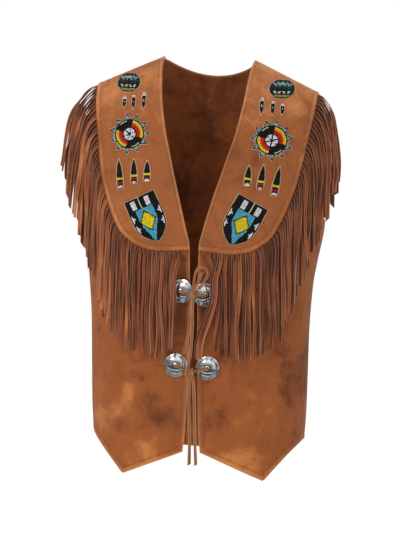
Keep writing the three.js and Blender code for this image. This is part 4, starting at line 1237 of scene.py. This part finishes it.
def band_beads(start, end, sections, paint):
    """Rows of beads across a patch: plane places, row angle and shade of each."""
    (x0, z0), (length, ux, uz) = start, heading(start, end)
    trim = MARGIN + 0.5
    count = int((length - 2 * trim) / BEAD.row) + 1
    found = []
    for k in range(count):
        along = trim + k * (length - 2 * trim) / max(count - 1, 1)
        half = float(np.interp(along / length, *zip(*sections))) - trim
        if half < 0.2:
            continue
        number = int(2 * half / BEAD.pitch) + 1
        off = (np.arange(number) - (number - 1) / 2) * BEAD.pitch
        t = np.full(number, along / length)
        shade = paint(t, off, np.full(number, half + 0.4))
        found.append(np.stack([x0 + ux * along - uz * off, z0 + uz * along + ux * off,
                               np.full(number, math.atan2(ux, -uz)), shade], 1))
    return np.concatenate(found)


def rosette_radius(angle):
    """Outline of the rosette's felt at an angle."""
    step = math.radians(360 / ROSETTE.rays)
    off = np.abs(((angle - math.radians(ROSETTE.turn)) / step + 0.5) % 1 - 0.5) * 2
    tip, valley = ROSETTE.tip, ROSETTE.disc + 1.8
    half_step = step / 2
    spread = off * half_step
    return tip * valley * math.sin(half_step) / (
        tip * np.sin(spread) + valley * np.sin(half_step - spread))


def rosette_beads(side):
    cx, cz = ROSETTE.centre
    found = []
    for ring in range(int(ROSETTE.tip / BEAD.row)):
        r = 0.01 if ring == 0 else ring * BEAD.row
        number = max(1, int(2 * math.pi * r / BEAD.pitch))
        angle = np.arange(number) / number * 2 * math.pi + 0.37 * ring
        keep = r < rosette_radius(angle) - MARGIN - 0.6
        angle = angle[keep]
        if not len(angle):
            continue
        shade = paint_rosette(np.full(len(angle), r), angle, side)
        found.append(np.stack([cx + r * np.cos(angle), cz + r * np.sin(angle),
                               angle + math.pi / 2, shade], 1))
    return np.concatenate(found)


def bead_shape():
    ring = np.linspace(0, 2 * np.pi, 6, endpoint=False)
    points = [(0, 0, 1)]
    for high, wide in ((0.5, 0.87), (-0.5, 0.87)):
        points += [(wide * math.cos(a), wide * math.sin(a), high) for a in ring]
    points.append((0, 0, -1))
    faces = []
    for k in range(6):
        n = (k + 1) % 6
        faces += [(0, 1 + k, 1 + n), (1 + k, 7 + k, 7 + n), (1 + k, 7 + n, 1 + n),
                  (13, 7 + n, 7 + k)]
    return np.array(points, float), np.array(faces)


BEAD_POINTS, BEAD_FACES = bead_shape()


def build_beads(name, rows, side, material):
    """All the beads of one patch as one mesh, each with its own shade."""
    x, z, angle = rows[:, 0], rows[:, 1], rows[:, 2]
    index = np.arange(len(x))
    x = x + 0.1 * scatter(index, 3)
    z = z + 0.1 * scatter(index, 4)

    def at(px, pz):
        return placed(skin(px, pz, "front", BEAD.lift, side), side)
    cos, sin = np.cos(angle), np.sin(angle)
    centre = at(x, z)
    along = unit(at(x + cos * 0.5, z + sin * 0.5) - at(x - cos * 0.5, z - sin * 0.5))
    across = unit(at(x - sin * 0.5, z + cos * 0.5) - at(x + sin * 0.5, z - cos * 0.5))
    up = unit(np.cross(along, across))
    up *= np.where(up[:, 1:2] < 0, 1, -1)
    across = np.cross(up, along)
    size = (1 + 0.08 * scatter(index, 5))[:, None, None]
    points = centre[:, None] + size * sum(
        BEAD_POINTS[None, :, k:k + 1] * way[:, None] * half
        for k, (way, half) in enumerate(zip((along, across, up), BEAD_HALVES)))
    faces = (BEAD_FACES[None] + index[:, None, None] * len(BEAD_POINTS)).reshape(-1, 3)
    palette = np.array([srgb(*rgb) for rgb in BEAD_COLOURS.values()])
    colour = palette[rows[:, 3].astype(int)] * (1 + 0.14 * scatter(index, 6))[:, None]
    return make_piece(name, points, faces, material, (), "beadwork",
                      shade=np.repeat(colour, len(BEAD_POINTS), axis=0))


def bead_glass():
    tree = Tree(bpy.data.materials.new("bead_glass"))
    return tree.surface({"Base Color": tree.attribute("shade", "Color"),
                         "Specular IOR Level": 0.22,
                         "Roughness": tree.spread(tree.noise(700.0), 0.28, 0.46)})


FELT = suede("bead_felt", (34, 30, 32), (20, 18, 20), (60, 52, 48), blotch=0.3,
             edge=(178, 146, 116))


def build_patch(label, side, x, z, rows, glass, rim):
    inner = skin(x, z, "front", UNDERLAY[0], side)
    outer = skin(x, z, "front", UNDERLAY[1], side)
    points, faces = shell(inner, outer, side)
    bare = np.broadcast_to(ease((MARGIN + 0.7 - rim) / 0.5), x.shape).ravel()
    felt = make_piece(f"{label}_felt", points, faces, FELT, [label], "beadwork", 50,
                      tone=np.zeros(len(points)), cut=np.tile(bare, 2))
    return [felt, build_beads(f"{label}_beads", rows, side, glass)]


def build_patches(side, glass):
    bands = [("emblem", *EMBLEM, EMBLEM_SECTIONS, paint_emblem),
             ("shield", *SHIELD, SHIELD_SECTIONS, paint_shield)]
    bands += [(f"drop#{k + 1}", (x, top), (x, bottom), DROP_SECTIONS, paint_drop)
              for k, (x, top, bottom) in enumerate(DROPS)]
    bands += [(f"claw#{k + 1}", (tx, tz), (bx, bz), CLAW_SECTIONS, paint_claw)
              for k, (tx, tz, bx, bz) in enumerate(CLAWS)]
    pieces = []
    for base, start, end, sections, paint in bands:
        base, _, number = base.partition("#")
        label = side_name(base, side) + (f"_{number}" if number else "")
        length = math.dist(start, end)
        rows = int(length / PATCH_STEP)
        columns = 60 if base in ("shield", "emblem") else 21
        x, z = band_grid(start, end, sections, rows, columns)
        t = np.linspace(0, 1, rows)[:, None]
        to_side = np.interp(t, *zip(*sections)) * (1 - np.abs(np.linspace(-1, 1, columns)))
        rim = np.minimum(to_side, np.minimum(t, 1 - t) * length)
        pieces += build_patch(label, side, x, z, band_beads(start, end, sections, paint),
                              glass, rim)
    angle = np.linspace(0, 2 * np.pi, ROSETTE.rays * 12 + 1) + math.radians(ROSETTE.turn)
    share = np.concatenate([[0.02, 0.3, 0.6], np.linspace(0.75, 1, 14)])[None, :]
    outline = rosette_radius(angle)[:, None] * share
    x = ROSETTE.centre[0] + outline * np.cos(angle)[:, None]
    z = ROSETTE.centre[1] + outline * np.sin(angle)[:, None]
    rim = rosette_radius(angle)[:, None] * (1 - share) * 0.8  # its outline slants
    return pieces + build_patch(side_name("rosette", side), side, x, z, rosette_beads(side),
                                glass, rim)


# ---- Stage and light --------------------------------------------------------------------------

FLOOR_HALF, FLOOR_Z = 30.0, -1.0  # m


def grey_stops(*stops):
    return [(position, (level,) * 3) for position, level in stops]


# What the metal mirrors: the floor from the vest forwards, and the room from below to above.
FLOOR_MIRRORED = grey_stops(
    (0.0, 0.03), (0.115, 0.03), (0.13, 0.9), (0.165, 0.9), (0.18, 0.04), (0.30, 0.04),
    (0.32, 0.8), (0.37, 0.8), (0.39, 0.06)) + [(1.0, (0.11, 0.10, 0.10))]
ROOM_MIRRORED = [(0.0, (0.10, 0.09, 0.09))] + grey_stops(
    (0.4, 0.12), (0.46, 0.75), (0.54, 0.2), (0.66, 0.3), (0.76, 1.0), (1.0, 1.0))


def make_stage():
    floor = bpy.data.meshes.new("floor")
    corners = [(-FLOOR_HALF, -FLOOR_HALF), (FLOOR_HALF, -FLOOR_HALF), (FLOOR_HALF, FLOOR_HALF),
               (-FLOOR_HALF, FLOOR_HALF)]
    floor.from_pydata([(*corner, FLOOR_Z) for corner in corners], [], [(0, 1, 2, 3)])
    tree = Tree(bpy.data.materials.new("floor"))
    paint = tree.surface({"Base Color": (0.9, 0.9, 0.9, 1), "Roughness": 0.9,
                          "Specular IOR Level": 0.0, "Emission Color": (1, 1, 1, 1),
                          "Emission Strength": 0.7})
    ahead = tree.add("SeparateXYZ", "Y", {0: tree.places["Object"]})
    mirrored = tree.ramp(tree.calc("MULTIPLY", ahead, -1 / 3), FLOOR_MIRRORED)
    tree.give(tree.nodes["Material Output"], {"Surface": tree.mixed(
        tree.add("LightPath", "Is Glossy Ray", {}), tree.nodes["Principled BSDF"].outputs[0],
        tree.add("Emission", 0, {"Color": mirrored}))})
    floor.materials.append(paint)
    piece = bpy.data.objects.new("floor", floor)
    bpy.context.scene.collection.objects.link(piece)


LIGHTS = [  # name, place, width, height, power
    ("key", (-2.0, -2.9, 2.5), 1.3, 1.3, 74.0),
    ("fill", (2.8, -3.4, 0.2), 2.4, 2.4, 7.0),
    ("top", (-0.4, -0.3, 3.0), 2.6, 1.8, 30.0),
    ("rear", (1.2, 3.4, 1.4), 2.6, 2.0, 30.0)]


def make_lights():
    for name, place, width, height, power in LIGHTS:
        data = bpy.data.lights.new(name, "AREA")
        data.shape = "RECTANGLE"
        data.size, data.size_y, data.energy = width, height, power
        lamp = bpy.data.objects.new(name, data)
        lamp.location = place
        lamp.rotation_mode = "QUATERNION"
        lamp.rotation_quaternion = (AIM - Vector(place)).to_track_quat("-Z", "Y")
        bpy.context.scene.collection.objects.link(lamp)


def make_world():
    """White to the camera, a soft fill to the cloth, and a room to what is glossy."""
    world = bpy.data.worlds.new("studio")
    bpy.context.scene.world = world
    tree = Tree(world)
    pale = tree.nodes["Background"]
    tree.give(pale, {"Color": (1.0, 1.0, 1.0, 1), "Strength": 1.0})
    ambient = tree.add("Background", 0, {"Color": (0.95, 0.97, 1.0, 1), "Strength": 0.36})
    up = tree.add("SeparateXYZ", "Z", {0: tree.places["Generated"]})
    seen = tree.ramp(tree.calc("MULTIPLY_ADD", up, 0.5, 0.5), ROOM_MIRRORED)
    room = tree.add("Background", 0, {"Color": seen, "Strength": 1.0})
    rays = tree.nodes.new("ShaderNodeLightPath").outputs
    plain = tree.mixed(rays["Is Camera Ray"], ambient, pale.outputs[0])
    tree.give(tree.nodes["World Output"],
              {"Surface": tree.mixed(rays["Is Glossy Ray"], plain, room)})
    bpy.context.scene.view_settings.view_transform = "Standard"


# ---- Assembly ---------------------------------------------------------------------------------

make_camera()
build_tails()
build_ties()
METAL = concho_metal()
for concho in CONCHOS:
    build_concho(concho, METAL)


THREAD = thread_material()
back = build_back()
sew_back(THREAD)
GLASS = bead_glass()
for side in (-1, 1):
    front = build_front(side)
    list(sew_front(side, THREAD))
    build_seam_tape(side)
    on_yoke = [build_fringe(side), *sew_yoke(side, THREAD)]
    yoke = build_yoke(side)
    on_yoke += build_patches(side, GLASS)
make_stage()
make_lights()
make_world()
